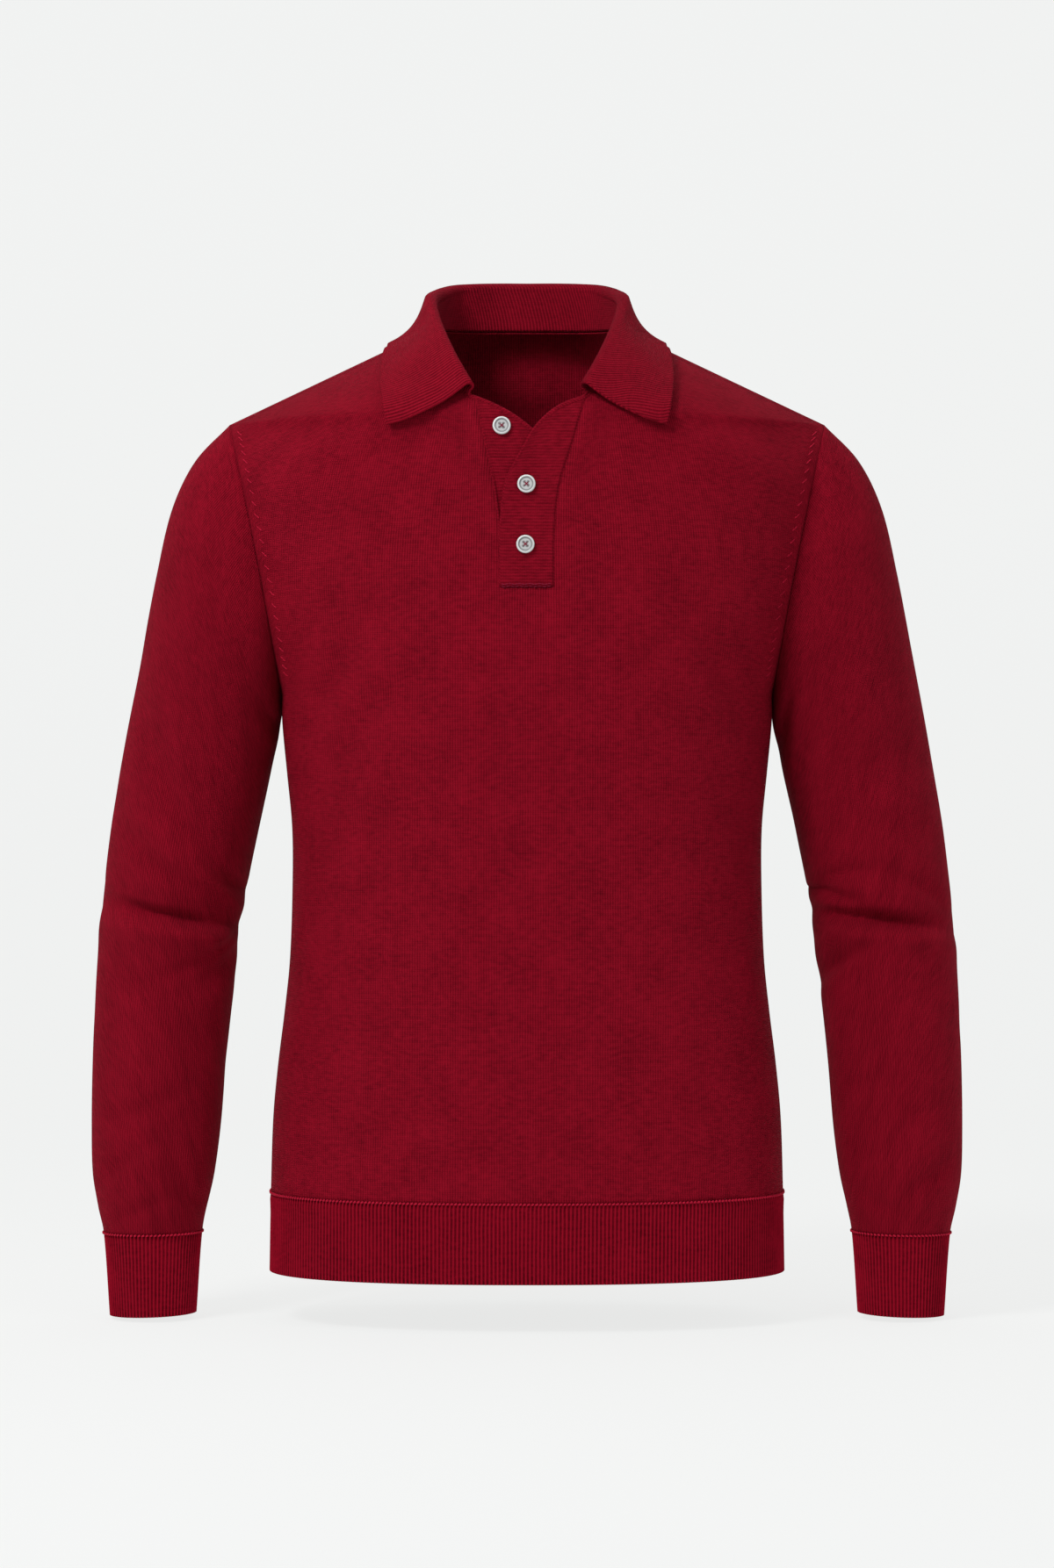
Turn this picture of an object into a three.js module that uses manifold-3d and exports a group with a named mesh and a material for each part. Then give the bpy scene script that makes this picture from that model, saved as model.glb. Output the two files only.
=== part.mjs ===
// A long-sleeved knitted polo shirt, filled out as it is worn and hollow all through.
// Millimetres, +Z up. The front faces -Y and the wearer's left sleeve is on +X.
// The origin is the middle of the neck base, at the height of the two neck points.
// Every piece of cloth is a wall of even thickness: an outer grid of points worked out
// from the garment's sizes, an inner grid one wall further in, and a rim all round.

import * as THREE from 'three';
import * as BufferGeometryUtils from 'three/addons/utils/BufferGeometryUtils.js';
import Module from 'manifold-3d';

const wasm = await Module();
wasm.setup();

// Walls and seams
const WALL = { jersey: 1.6, rib: 2.2, collar: 2.0, strip: 1.6, tape: 1.0 };
const SEAM_GAP = 0.35;
const MID_Y = 2;

// Torso: half width and the depth of the front and back at each height
const torsoAt = smoothTable(['height', 'halfWidth', 'front', 'back'], [
  [-674, 184.5, 113, 107],
  [-618, 183.5, 115, 108],
  [-564, 181.8, 113, 104],
  [-526, 178.3, 111, 101],
  [-488, 173.6, 110, 99],
  [-450, 169.8, 109, 98],
  [-394, 168.0, 110, 99],
  [-356, 168.4, 112, 102],
  [-318, 172.0, 114, 105],
  [-280, 175.5, 116, 108],
  [-261, 175.5, 117, 109],
  [-190, 176.0, 117, 112],
  [-120, 176.0, 113, 112],
  [-60, 176.0, 106, 108],
  [0, 176.0, 101, 101],
  [50, 176.0, 98, 96],
]);
const SQUARENESS = 2.35;
const RIB_SEAM = -618;
const HEM = -674;

// Armhole: a loop in one slanted plane, from the shoulder point down to the armpit
const ARMHOLE = { topX: 213, topZ: -68.5, lowX: 175.5, lowZ: -261.5, front: 52, back: 56, bow: 3 };
const LOOP_STEPS = 24;

// Shoulder line, falling from the neck point, and how the cloth rounds over it
const NECK_X = 71;
const SHOULDER_SLOPE = 0.475;
const SHOULDER_DROP = { front: 75, back: 50 };
const SEAM_TILT = 0.4;
const NAPE_RISE = 35;
const NAPE_WIDTH = 3.5;

// Neckline: half of it, from centre back (0) over the neck point (0.6) to the collar end (1)
const necklineAt = smoothTable(['along', 'x', 'z'], [
  [0, 0, 6],
  [0.12, 18, 6],
  [0.24, 35, 5.6],
  [0.36, 50, 4.6],
  [0.5, 64, 2.6],
  [0.57, 69.5, 0.8],
  [0.6, 71, -1],
  [0.64, 70.7, -4.1],
  [0.7, 69, -10],
  [0.8, 63, -25],
  [0.9, 53, -42],
  [1, 40.5, -57],
]);

// Placket: the slit's two edges, which spread apart above the top fastened button
const PLACKET = { width: 37, low: -190, high: -57, crossX: 4, crossZ: -81, proud: 0.6 };
const slitAt = smoothTable(['height', 'left', 'right'], [
  [-190, -19, 18.6],
  [-150, -19.3, 18.9],
  [-118, -23, 22.5],
  [-90, -28.5, 31],
  [-57, -35.5, 40.5],
]);
const UNDER_CLEAR = 7;
const BUTTON = { radius: 6.35, thick: 2.4, rim: 1.1, dish: 0.7, recess: 0.7, backRound: 1.2, faceRound: 0.5, hole: 0.8, holeStep: 1.13 };
const BUTTON_PLACES = [
  { name: 'button_top', x: -17.7, z: -77.4, on: 'under' },
  { name: 'button_middle', x: -0.4, z: -118.3, on: 'over' },
  { name: 'button_bottom', x: -1.1, z: -160.2, on: 'over' },
];

// Sleeve: the outer and inner outline, seen from the front, at stations along the arm
const sleeveAt = smoothTable(
  ['station', 'outerX', 'outerZ', 'innerX', 'innerZ', 'centreY', 'frontDepth', 'backDepth'],
  [
    [0, 213, -68.5, 175.5, -261.5, 2, 52, 56],
    [36, 238, -94.5, 176, -279, 4, 58, 61],
    [73, 254.5, -128, 178.5, -294, 6, 61, 63],
    [123, 266, -176, 184, -318, 8, 62, 63],
    [181, 277, -233, 191, -349.5, 10, 60, 61],
    [248, 289.5, -299, 198, -382, 12, 57, 58],
    [300, 298, -349.5, 201, -398, 12, 55, 56],
    [344, 303.5, -394, 202.5, -409, 10, 53, 54],
    [388, 307.5, -438, 206, -441, 7, 51, 51],
    [432, 310, -482, 211.5, -482, 4, 49, 49],
    [477, 311.5, -526, 216, -526, 1, 47, 47],
    [521, 312, -570, 219.5, -570, -1, 45, 45],
    [556, 311, -605, 224, -605, -3, 42, 42],
    [581, 307, -629, 229, -628, -4, 38, 38],
    [600, 303, -647, 232.5, -646, -5, 34.5, 34.5],
    [661, 298.5, -706, 236.5, -704, -7, 31, 31],
  ],
);
const SLEEVE_END = 600;
const CUFF_END = 661;
const SLEEVE_STATIONS = [
  0, 10, 24, 44, 70, 104, 144, 188, 232, 270, 300, 322, 342, 358, 372, 386, 402, 424, 462, 510, 556, 580, SLEEVE_END,
];

// Folds of the sleeves at the elbow: depth is inwards, lean is how far the fold climbs round the arm
const FOLD_COLUMNS = ['side', 'station', 'angle', 'halfLength', 'halfTurn', 'depth', 'lean'];
const FOLDS = [
  [-1, 362, 95, 11, 75, 6.5, 6],
  [-1, 385, 80, 10, 60, -3.0, 4],
  [-1, 404, 150, 12, 38, 4.5, -16],
  [-1, 318, 150, 24, 26, 4.5, 0],
  [1, 366, 100, 11, 72, 6.5, -8],
  [1, 388, 85, 10, 60, -3.0, -5],
  [1, 402, 150, 10, 34, 4.0, 12],
  [1, 322, 150, 24, 26, 4.5, 0],
  [-1, 372, 250, 12, 50, 3.0, 5],
  [1, 370, 250, 12, 50, 3.0, -5],
].map((row) => Object.fromEntries(FOLD_COLUMNS.map((name, i) => [name, row[i]])));

// Collar: the roll line and the free edge of the fall, on the neckline's own scale
const collarAt = smoothTable(
  ['along', 'rollX', 'rollY', 'rollZ', 'edgeX', 'edgeY', 'edgeZ', 'bend', 'swell'],
  [
    [0, 0, 93, 41, 0, 103, -6, 3.6, 2.5],
    [0.12, 20, 92, 41, 24, 101.5, -6.5, 3.6, 2.5],
    [0.24, 38, 86, 40, 46, 95, -7.5, 3.6, 2.5],
    [0.36, 53.5, 74, 37.5, 68, 81, -8.5, 3.6, 1.5],
    [0.5, 64, 40, 30, 88, 45, -10, 3.6, -2.5],
    [0.6, 67, 6, 22, 98, 4, -11, 3.5, -5],
    [0.7, 64, -24, 7, 102, -30, -22, 3.4, -3],
    [0.8, 58, -55, -10, 102, -66, -42, 3.2, 1],
    [0.9, 49.5, -81, -29, 100, -91, -60, 3.0, 2.5],
    [1, 38.5, -100.5, -49, 97, -103, -76.5, 2.8, 2.5],
  ],
);
const FRONT_EDGE_BOW = 7;
const COLLAR_CLEARANCE = 3;
const STAND_LIFT = 0.6;
const STAND_RAISE = 1.45;
const TAPE_REACH = 0.54;
const TAPE_SHARE = 0.62;
const TAPE_LIFT = 0.4;

// Ribs of the hem and cuffs
const RIB_PITCH = 2.8;
const CUFF_GIRTH = 212;
const RIB_HEIGHT = 0.7;

const COLOURS = { cloth: 0x7e0c20, rib: 0x760b1e, button: 0xe6e3df };

// Reads a table whose rows hold a key and named columns, and runs a smooth curve through the rows
function smoothTable(columns, rows) {
  const slope = (i, c) => {
    const before = rows[Math.max(i - 1, 0)];
    const after = rows[Math.min(i + 1, rows.length - 1)];
    return (after[c] - before[c]) / (after[0] - before[0]);
  };
  return (key) => {
    const k = THREE.MathUtils.clamp(key, rows[0][0], rows[rows.length - 1][0]);
    const i = Math.min(rows.filter((row) => row[0] <= k).length, rows.length - 1) - 1;
    const span = rows[i + 1][0] - rows[i][0];
    const t = (k - rows[i][0]) / span;
    const values = columns.slice(1).map((name, n) => {
      const c = n + 1;
      const start = (1 + 2 * t) * (1 - t) ** 2 * rows[i][c] + t * (1 - t) ** 2 * span * slope(i, c);
      const end = t * t * (3 - 2 * t) * rows[i + 1][c] - t * t * (1 - t) * span * slope(i + 1, c);
      return [name, start + end];
    });
    return Object.fromEntries(values);
  };
}

const lerp = THREE.MathUtils.lerp;
const smooth = (value, low, high) => THREE.MathUtils.smoothstep(value, low, high);
const arc = (share) => Math.sin((share * Math.PI) / 2);
const arcShare = (sine) => (Math.asin(THREE.MathUtils.clamp(sine, -1, 1)) * 2) / Math.PI;

// Armhole loop: angle 0 is the shoulder point, 180 the armpit, and the front lies between them
function armholeHeight(angle) {
  const middle = (ARMHOLE.topZ + ARMHOLE.lowZ) / 2;
  return middle + ((ARMHOLE.topZ - ARMHOLE.lowZ) / 2) * Math.cos(angle);
}

function armholeX(height) {
  const share = THREE.MathUtils.clamp((height - ARMHOLE.lowZ) / (ARMHOLE.topZ - ARMHOLE.lowZ), 0, 1);
  return lerp(ARMHOLE.lowX, ARMHOLE.topX, share) - ARMHOLE.bow * 4 * share * (1 - share);
}

function armholeDepth(height, isFront) {
  const share = THREE.MathUtils.clamp((height - ARMHOLE.lowZ) / (ARMHOLE.topZ - ARMHOLE.lowZ), 0, 1);
  return (isFront ? ARMHOLE.front : ARMHOLE.back) * 2 * Math.sqrt(share * (1 - share));
}

// Torso surface: the depth at x and height, full at the middle and closing at the side
const sideX = (height) => (height > ARMHOLE.lowZ ? armholeX(height) : torsoAt(height).halfWidth);
const shoulderHeight = (x) => -SHOULDER_SLOPE * Math.max(Math.abs(x) - NECK_X, 0) - 1;
const overShoulder = (drop, reach) => arc(Math.min(Math.max(drop, 0) / reach, 1) ** 0.8);

function ridge(x, isFront) {
  const nape = isFront ? 0 : NAPE_RISE * Math.max(1 - (Math.abs(x) / NECK_X) ** NAPE_WIDTH, 0);
  return shoulderHeight(x) + nape;
}

// The oval closes less and less towards the shoulder point, and above it this share of it stays
const SHOULDER_SHARE = 0.97;

function torsoDepth(x, height, isFront) {
  const side = sideX(height);
  const across = Math.min(Math.abs(x) / side, 1);
  const full = torsoAt(height)[isFront ? 'front' : 'back'];
  const reachDown = SHOULDER_DROP[isFront ? 'front' : 'back'];
  const sideFull = Math.max(full * overShoulder(shoulderHeight(side) - height, reachDown), 1e-6);
  const target = height > ARMHOLE.lowZ ? armholeDepth(height, isFront) : 0;
  const ratio = target / sideFull;
  const share = height < ARMHOLE.topZ ? SHOULDER_SHARE * ratio / (1 + ratio ** 6) ** (1 / 6) : SHOULDER_SHARE;
  const reach = (1 - share ** SQUARENESS) ** (1 / SQUARENESS);
  const curve = (1 - Math.min(reach * across, 1) ** SQUARENESS) ** (1 / SQUARENESS);
  const rise = overShoulder(ridge(x, isFront) - height, reachDown);
  return full * rise * curve + (target - sideFull * share) * across ** 10;
}

function torsoPoint(x, height, isFront) {
  const side = isFront ? -1 : 1;
  return new THREE.Vector3(x, MID_Y + side * torsoDepth(x, height, isFront), height);
}

// Outward unit normals of a grid of points held row by row
function gridNormals(points, rows, columns, wraps) {
  const at = (r, c) => points[r * columns + c];
  const normals = [];
  for (let r = 0; r < rows; r += 1) {
    for (let c = 0; c < columns; c += 1) {
      const before = wraps ? (c + columns - 1) % columns : Math.max(c - 1, 0);
      const after = wraps ? (c + 1) % columns : Math.min(c + 1, columns - 1);
      const along = at(Math.min(r + 1, rows - 1), c).clone().sub(at(Math.max(r - 1, 0), c));
      const across = at(r, after).clone().sub(at(r, before));
      normals.push(across.cross(along).normalize());
    }
  }
  return normals;
}

const offsetPoints = (points, normals, distance) =>
  points.map((point, i) => point.clone().addScaledVector(normals[i], distance));

// The cells of a grid as quads, anticlockwise seen from outside
function gridCells(rows, columns, wraps, keep = () => true) {
  const cells = [];
  for (let r = 0; r < rows - 1; r += 1) {
    for (let c = 0; c < (wraps ? columns : columns - 1); c += 1) {
      const d = (c + 1) % columns;
      if (keep(r, c)) {
        cells.push([r * columns + c, r * columns + d, (r + 1) * columns + d, (r + 1) * columns + c]);
      }
    }
  }
  return cells;
}

// Closed geometry from points and triangles, with unused points dropped
function closedGeometry(points, triangles) {
  const used = [...new Set(triangles.flat())];
  const place = new Map(used.map((index, i) => [index, i]));
  const geometry = new THREE.BufferGeometry();
  const positions = used.flatMap((index) => points[index].toArray());
  geometry.setAttribute('position', new THREE.Float32BufferAttribute(positions, 3));
  geometry.setIndex(triangles.flat().map((index) => place.get(index)));
  geometry.computeVertexNormals();
  return geometry;
}

// A wall between an outer and an inner grid, with a rim along every free edge of its cells
function wall(outer, inner, cells) {
  const shift = outer.length;
  const edges = new Set();
  cells.forEach((cell) => cell.forEach((a, i) => edges.add(`${a},${cell[(i + 1) % 4]}`)));
  const triangles = [];
  cells.forEach(([a, b, c, d]) => {
    triangles.push([a, b, c], [a, c, d]);
    triangles.push([a + shift, c + shift, b + shift], [a + shift, d + shift, c + shift]);
  });
  cells.forEach((cell) => {
    cell.forEach((a, i) => {
      const b = cell[(i + 1) % 4];
      if (!edges.has(`${b},${a}`)) triangles.push([b, a, a + shift], [b, a + shift, b + shift]);
    });
  });
  return closedGeometry([...outer, ...inner], triangles);
}

// Where a wall meets the armhole, its rim leans halfway towards the middle of the loop
function leanToArmhole(normal, angle, side) {
  const radial = new THREE.Vector3(
    (side * (ARMHOLE.topX - ARMHOLE.lowX) * Math.cos(angle)) / 2,
    -ARMHOLE.front * Math.sin(angle),
    ((ARMHOLE.topZ - ARMHOLE.lowZ) * Math.cos(angle)) / 2,
  );
  return radial.normalize().add(normal).normalize();
}

// Panel rows: level below the placket, then fanned up to the shoulder and the neckline
const BODY_HEIGHTS = [RIB_SEAM, -574, -526, -480, -436, -392, -346, -304];
const LOOP_ANGLE = (2 * Math.PI) / LOOP_STEPS;
const LEVEL_TURNS = [12, 11, 10, 9, 8, 7];
const FANNED_TURNS = [6, 5, 4, 3, 2, 1];
const LEVEL_TOP = armholeHeight(7 * LOOP_ANGLE);
const SHOULDER_COLUMNS = 6;
const NECK_SHARE = arcShare(NECK_X / ARMHOLE.topX);
const FRONT_NECK = [0.64, 0.72, 0.81, 0.9, 1];
const BACK_NECK = [0.6, 0.54, 0.45, 0.33, 0.17, 0];

// Half a row's columns as [share of the arc at low rows, share at the top row], side first
function halfColumns(neck, lowInner, topSide, topInner) {
  const columns = [];
  for (let i = 0; i <= SHOULDER_COLUMNS; i += 1) {
    const share = lerp(1, NECK_SHARE, i / SHOULDER_COLUMNS);
    const atNeck = arcShare(necklineAt(neck[0]).x / topSide);
    columns.push([share, lerp(1, atNeck, i / SHOULDER_COLUMNS)]);
  }
  neck.slice(1).forEach((along, i) => {
    const isLast = i === neck.length - 2;
    const top = isLast && topInner !== undefined ? topInner : necklineAt(along).x;
    columns.push([lerp(NECK_SHARE, lowInner, (i + 1) / (neck.length - 1)), arcShare(top / topSide)]);
  });
  return columns;
}

// The top edge of a half panel: the shoulder line, then the neckline
function topHeights(neck, columns, topSide, shoulderFall) {
  return columns.map(([, top], i) => {
    if (i <= SHOULDER_COLUMNS) return shoulderHeight(topSide * arc(top)) - shoulderFall;
    return necklineAt(neck[i - SHOULDER_COLUMNS]).z;
  });
}

const SEAM_TURN = 1;
const SEAM_FALL = ARMHOLE.topZ - armholeHeight(SEAM_TURN * LOOP_ANGLE);

function frontPanel() {
  const topTurn = SEAM_TURN;
  const topZ = armholeHeight(topTurn * LOOP_ANGLE);
  const topSide = armholeX(topZ);
  const rowHeights = [...BODY_HEIGHTS, ...LEVEL_TURNS.map((turn) => armholeHeight(turn * LOOP_ANGLE))];
  const levelRows = rowHeights.length;
  const points = [];
  const place = (height, climb, atRow) => {
    const slit = slitAt(Math.max(height, PLACKET.low));
    const half = (side, edge, topEdge) => {
      const columns = halfColumns(FRONT_NECK, arcShare(Math.abs(edge) / sideX(height)), topSide, topEdge);
      const tops = topHeights(FRONT_NECK, columns, topSide, SEAM_FALL);
      return columns.map(([low, top], i) => {
        const isEdge = i === columns.length - 1;
        const z = atRow === undefined ? height : lerp(LEVEL_TOP, tops[i], climb);
        const rowSide = atRow === undefined ? sideX(height) : armholeX(armholeHeight(atRow * LOOP_ANGLE));
        const x = isEdge ? Math.abs(slitAt(Math.max(z, PLACKET.low))[side < 0 ? 'left' : 'right'])
          : rowSide * arc(lerp(low, top, climb ** 2));
        return torsoPoint(side * x, z, true);
      });
    };
    const left = half(-1, slit.left, Math.abs(slitAt(PLACKET.high).left));
    const right = half(1, slit.right, slitAt(PLACKET.high).right).reverse();
    const low = left[left.length - 1];
    const high = right[0];
    const between = [0.25, 0.5, 0.75].map((t) => torsoPoint(lerp(low.x, high.x, t), lerp(low.z, high.z, t), true));
    points.push(...left, ...between, ...right);
  };
  rowHeights.forEach((height) => place(height, 0));
  FANNED_TURNS.forEach((turn) => {
    const z = armholeHeight(turn * LOOP_ANGLE);
    place(z, (z - LEVEL_TOP) / (topZ - LEVEL_TOP), turn);
  });
  const rows = rowHeights.length + FANNED_TURNS.length;
  const columns = points.length / rows;
  const turns = [...BODY_HEIGHTS.map(() => null), ...LEVEL_TURNS, ...FANNED_TURNS];
  const slitStart = (columns - 5) / 2;
  const inSlit = (r, c) => r >= levelRows - 1 && c >= slitStart && c < slitStart + 4;
  return panelWall(points, rows, columns, turns, (r, c) => !inSlit(r, c), true);
}

function backPanel() {
  const topSide = ARMHOLE.topX;
  const rowHeights = [...BODY_HEIGHTS, ...LEVEL_TURNS.map((turn) => armholeHeight(turn * LOOP_ANGLE))];
  const fanned = [...FANNED_TURNS, 0];
  const points = [];
  const columnsHalf = halfColumns(BACK_NECK, 0, topSide);
  const tops = topHeights(BACK_NECK, columnsHalf, topSide, 0);
  const addRow = (half) => {
    const mirrored = half.slice(0, -1).reverse().map((p) => new THREE.Vector3(-p.x, p.y, p.z));
    points.push(...half, ...mirrored);
  };
  const row = (rowSide, climb, height) => columnsHalf.map(([low, top], i) => {
    const z = height ?? lerp(LEVEL_TOP, tops[i], climb);
    const x = rowSide * arc(lerp(low, top, climb ** 2));
    return torsoPoint(x, z, false);
  });
  rowHeights.forEach((height) => addRow(row(sideX(height), 0, height)));
  fanned.forEach((turn) => {
    const z = armholeHeight(turn * LOOP_ANGLE);
    addRow(row(armholeX(z), (z - LEVEL_TOP) / (ARMHOLE.topZ - LEVEL_TOP)));
  });
  // Over the shoulder: one more row, on the front side of the ridge, ends at the shoulder seam
  const seamZ = armholeHeight(SEAM_TURN * LOOP_ANGLE);
  addRow(columnsHalf.map(([, top], i) => {
    const share = i === SHOULDER_COLUMNS ? arcShare(necklineAt(FRONT_NECK[0]).x / topSide) : top;
    const x = armholeX(seamZ) * arc(share);
    const z = shoulderHeight(x) - SEAM_FALL;
    return i > SHOULDER_COLUMNS ? torsoPoint(x, tops[i], false) : torsoPoint(x, z, true);
  }));
  const rows = rowHeights.length + fanned.length + 1;
  const columns = points.length / rows;
  const turns = [...BODY_HEIGHTS.map(() => null), ...LEVEL_TURNS, ...fanned, -SEAM_TURN];
  const overNeck = (r, c) => r === rows - 2 && c >= SHOULDER_COLUMNS && c < columns - 1 - SHOULDER_COLUMNS;
  return panelWall(points, rows, columns, turns, (r, c) => !overNeck(r, c), false);
}

// Parts a panel from its neighbours by the seam gap and gives it its thickness
function panelWall(points, rows, columns, turns, keep, isFront) {
  const normals = gridNormals(points, rows, columns, false);
  const outer = points.map((point, i) => {
    const r = Math.floor(i / columns);
    const c = i % columns;
    const moved = point.clone();
    const isSide = c === 0 || c === columns - 1;
    const besideSeam = turns[r] === null || turns[r] === LOOP_STEPS / 2;
    if (besideSeam) moved.y += (isFront ? -SEAM_GAP : SEAM_GAP) / 2;
    if (isSide && besideSeam) normals[i] = new THREE.Vector3(Math.sign(point.x), 0, 0);
    if (r === rows - 1 && !isSide && Math.abs(point.x) > NECK_X + 1) {
      normals[i] = new THREE.Vector3(Math.sign(point.x) * SHOULDER_SLOPE, -SEAM_TILT, 1).normalize();
    }
    if (isSide && turns[r] !== null) {
      moved.x -= (Math.sign(point.x) * SEAM_GAP) / 2;
      const angle = (isFront ? 1 : -1) * turns[r] * LOOP_ANGLE;
      normals[i] = leanToArmhole(normals[i], angle, Math.sign(point.x));
    }
    if (r === rows - 1) {
      const back = points[i - columns].clone().sub(point).normalize();
      moved.addScaledVector(back, SEAM_GAP);
    }
    return moved;
  });
  const inner = offsetPoints(outer, normals, -WALL.jersey);
  return wall(outer, inner, gridCells(rows, columns, false, keep));
}

// Sleeve surface: a ring round the arm at each station, with the folds pressed in or out
function sleevePoint(side, station, angle, lift = 0) {
  const s = sleeveAt(station);
  const cos = Math.cos(angle);
  const sin = Math.sin(angle);
  const turn = ((THREE.MathUtils.radToDeg(angle) % 360) + 360) % 360;
  const pressed = FOLDS.filter((fold) => fold.side === side).reduce((sum, fold) => {
    const round = (turn - fold.angle) / fold.halfTurn;
    const along = (station - fold.station - fold.lean * round) / fold.halfLength;
    return sum + fold.depth * Math.exp(-along * along - round * round);
  }, 0);
  const bow = ARMHOLE.bow * sin * sin * (1 - smooth(station, 0, 70));
  const depth = sin > 0 ? s.frontDepth : s.backDepth;
  const reach = Math.hypot(s.outerX - s.innerX, s.outerZ - s.innerZ) / 2;
  const swell = 1 + (lift - pressed) / ((reach + depth) / 2);
  const x = (s.outerX + s.innerX) / 2 + ((s.outerX - s.innerX) / 2) * cos * swell - bow;
  const y = s.centreY - depth * sin * swell;
  const z = (s.outerZ + s.innerZ) / 2 + ((s.outerZ - s.innerZ) / 2) * cos * swell;
  return new THREE.Vector3(side * x, y, z);
}

function sleeve(side) {
  const points = SLEEVE_STATIONS.flatMap((station) =>
    Array.from({ length: LOOP_STEPS }, (_, k) => sleevePoint(side, station, side * k * LOOP_ANGLE)));
  points.forEach((point, i) => {
    if (i < LOOP_STEPS) point.x += (side * SEAM_GAP) / 2;
  });
  const rows = SLEEVE_STATIONS.length;
  const normals = gridNormals(points, rows, LOOP_STEPS, true);
  for (let k = 0; k < LOOP_STEPS; k += 1) {
    normals[k] = leanToArmhole(normals[k], side * k * LOOP_ANGLE, side);
  }
  const inner = offsetPoints(points, normals, -WALL.jersey);
  return wall(points, inner, gridCells(rows, LOOP_STEPS, true));
}

// A ribbed band: fine zigzag columns outside, a plain and coarser tube inside
function ribbedBand(outerLow, outerHigh, innerLow, innerHigh) {
  const fine = outerLow.length;
  const coarse = innerLow.length;
  const points = [...outerLow, ...outerHigh, ...innerLow, ...innerHigh];
  const [low, high, lowIn, highIn] = [0, fine, 2 * fine, 2 * fine + coarse];
  const triangles = [];
  for (let i = 0; i < fine; i += 1) {
    const j = (i + 1) % fine;
    triangles.push([low + i, low + j, high + j], [low + i, high + j, high + i]);
    const nearest = Math.floor(((i + 0.5) * coarse) / fine) % coarse;
    triangles.push([low + j, low + i, lowIn + nearest], [high + i, high + j, highIn + nearest]);
  }
  for (let k = 0; k < coarse; k += 1) {
    const m = (k + 1) % coarse;
    triangles.push([lowIn + m, lowIn + k, highIn + k], [lowIn + m, highIn + k, highIn + m]);
    const shared = Math.round(((k + 1) * fine) / coarse) % fine;
    triangles.push([low + shared, lowIn + k, lowIn + m], [high + shared, highIn + m, highIn + k]);
  }
  return closedGeometry(points, triangles);
}

// Points evenly spaced round the torso at one height, anticlockwise from +X, seen from above
function evenHoop(height, count, inset) {
  const fineSteps = 1440;
  const outline = Array.from({ length: fineSteps }, (_, i) => {
    const angle = (i / fineSteps) * 2 * Math.PI;
    const size = torsoAt(height);
    const depth = Math.sin(angle) > 0 ? size.back : size.front;
    const power = 2 / SQUARENESS;
    const x = Math.sign(Math.cos(angle)) * size.halfWidth * Math.abs(Math.cos(angle)) ** power;
    const y = Math.sign(Math.sin(angle)) * depth * Math.abs(Math.sin(angle)) ** power;
    return new THREE.Vector2(x, y);
  });
  const lengths = [0];
  outline.forEach((point, i) => lengths.push(lengths[i] + point.distanceTo(outline[(i + 1) % fineSteps])));
  let step = 0;
  return Array.from({ length: count }, (_, k) => {
    const goal = (k / count) * lengths[fineSteps];
    while (lengths[step + 1] < goal) step += 1;
    const share = (goal - lengths[step]) / (lengths[step + 1] - lengths[step]);
    const from = outline[step];
    const to = outline[(step + 1) % fineSteps];
    const along = to.clone().sub(from).normalize();
    const at = from.clone().lerp(to, share).sub(new THREE.Vector2(along.y, -along.x).multiplyScalar(inset(k)));
    return new THREE.Vector3(at.x, at.y + MID_Y, height);
  });
}

const ribInset = (k) => (k % 2) * RIB_HEIGHT;

function hemRib() {
  const ribs = 344;
  const plain = 86;
  const top = RIB_SEAM - SEAM_GAP;
  const inside = () => WALL.rib;
  return ribbedBand(
    evenHoop(HEM, 2 * ribs, ribInset),
    evenHoop(top, 2 * ribs, ribInset),
    evenHoop(HEM, plain, inside),
    evenHoop(top, plain, inside),
  );
}

function cuff(side) {
  const ribs = Math.round(CUFF_GIRTH / RIB_PITCH);
  const plain = ribs / 2;
  const hoop = (station, count, inset) => Array.from({ length: count }, (_, k) => {
    const angle = (-side * k * 2 * Math.PI) / count;
    return sleevePoint(side, station, angle, -inset(k));
  });
  const start = SLEEVE_END + SEAM_GAP;
  const inside = () => WALL.rib;
  return ribbedBand(
    hoop(CUFF_END, 2 * ribs, ribInset),
    hoop(start, 2 * ribs, ribInset),
    hoop(CUFF_END, plain, inside),
    hoop(start, plain, inside),
  );
}

// Collar section at one place along the neckline: stand, roll and fall as one row of points
const STAND_STEPS = 2;
const ROLL_STEPS = 4;
const FALL_STEPS = 5;

function necklinePoint(along) {
  const spot = necklineAt(Math.abs(along));
  const point = torsoPoint(spot.x, spot.z, Math.abs(along) > 0.6);
  if (Math.abs(along) === 0.6) point.y = MID_Y;
  return point.multiply(new THREE.Vector3(Math.sign(along) || 1, 1, 1));
}

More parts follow.
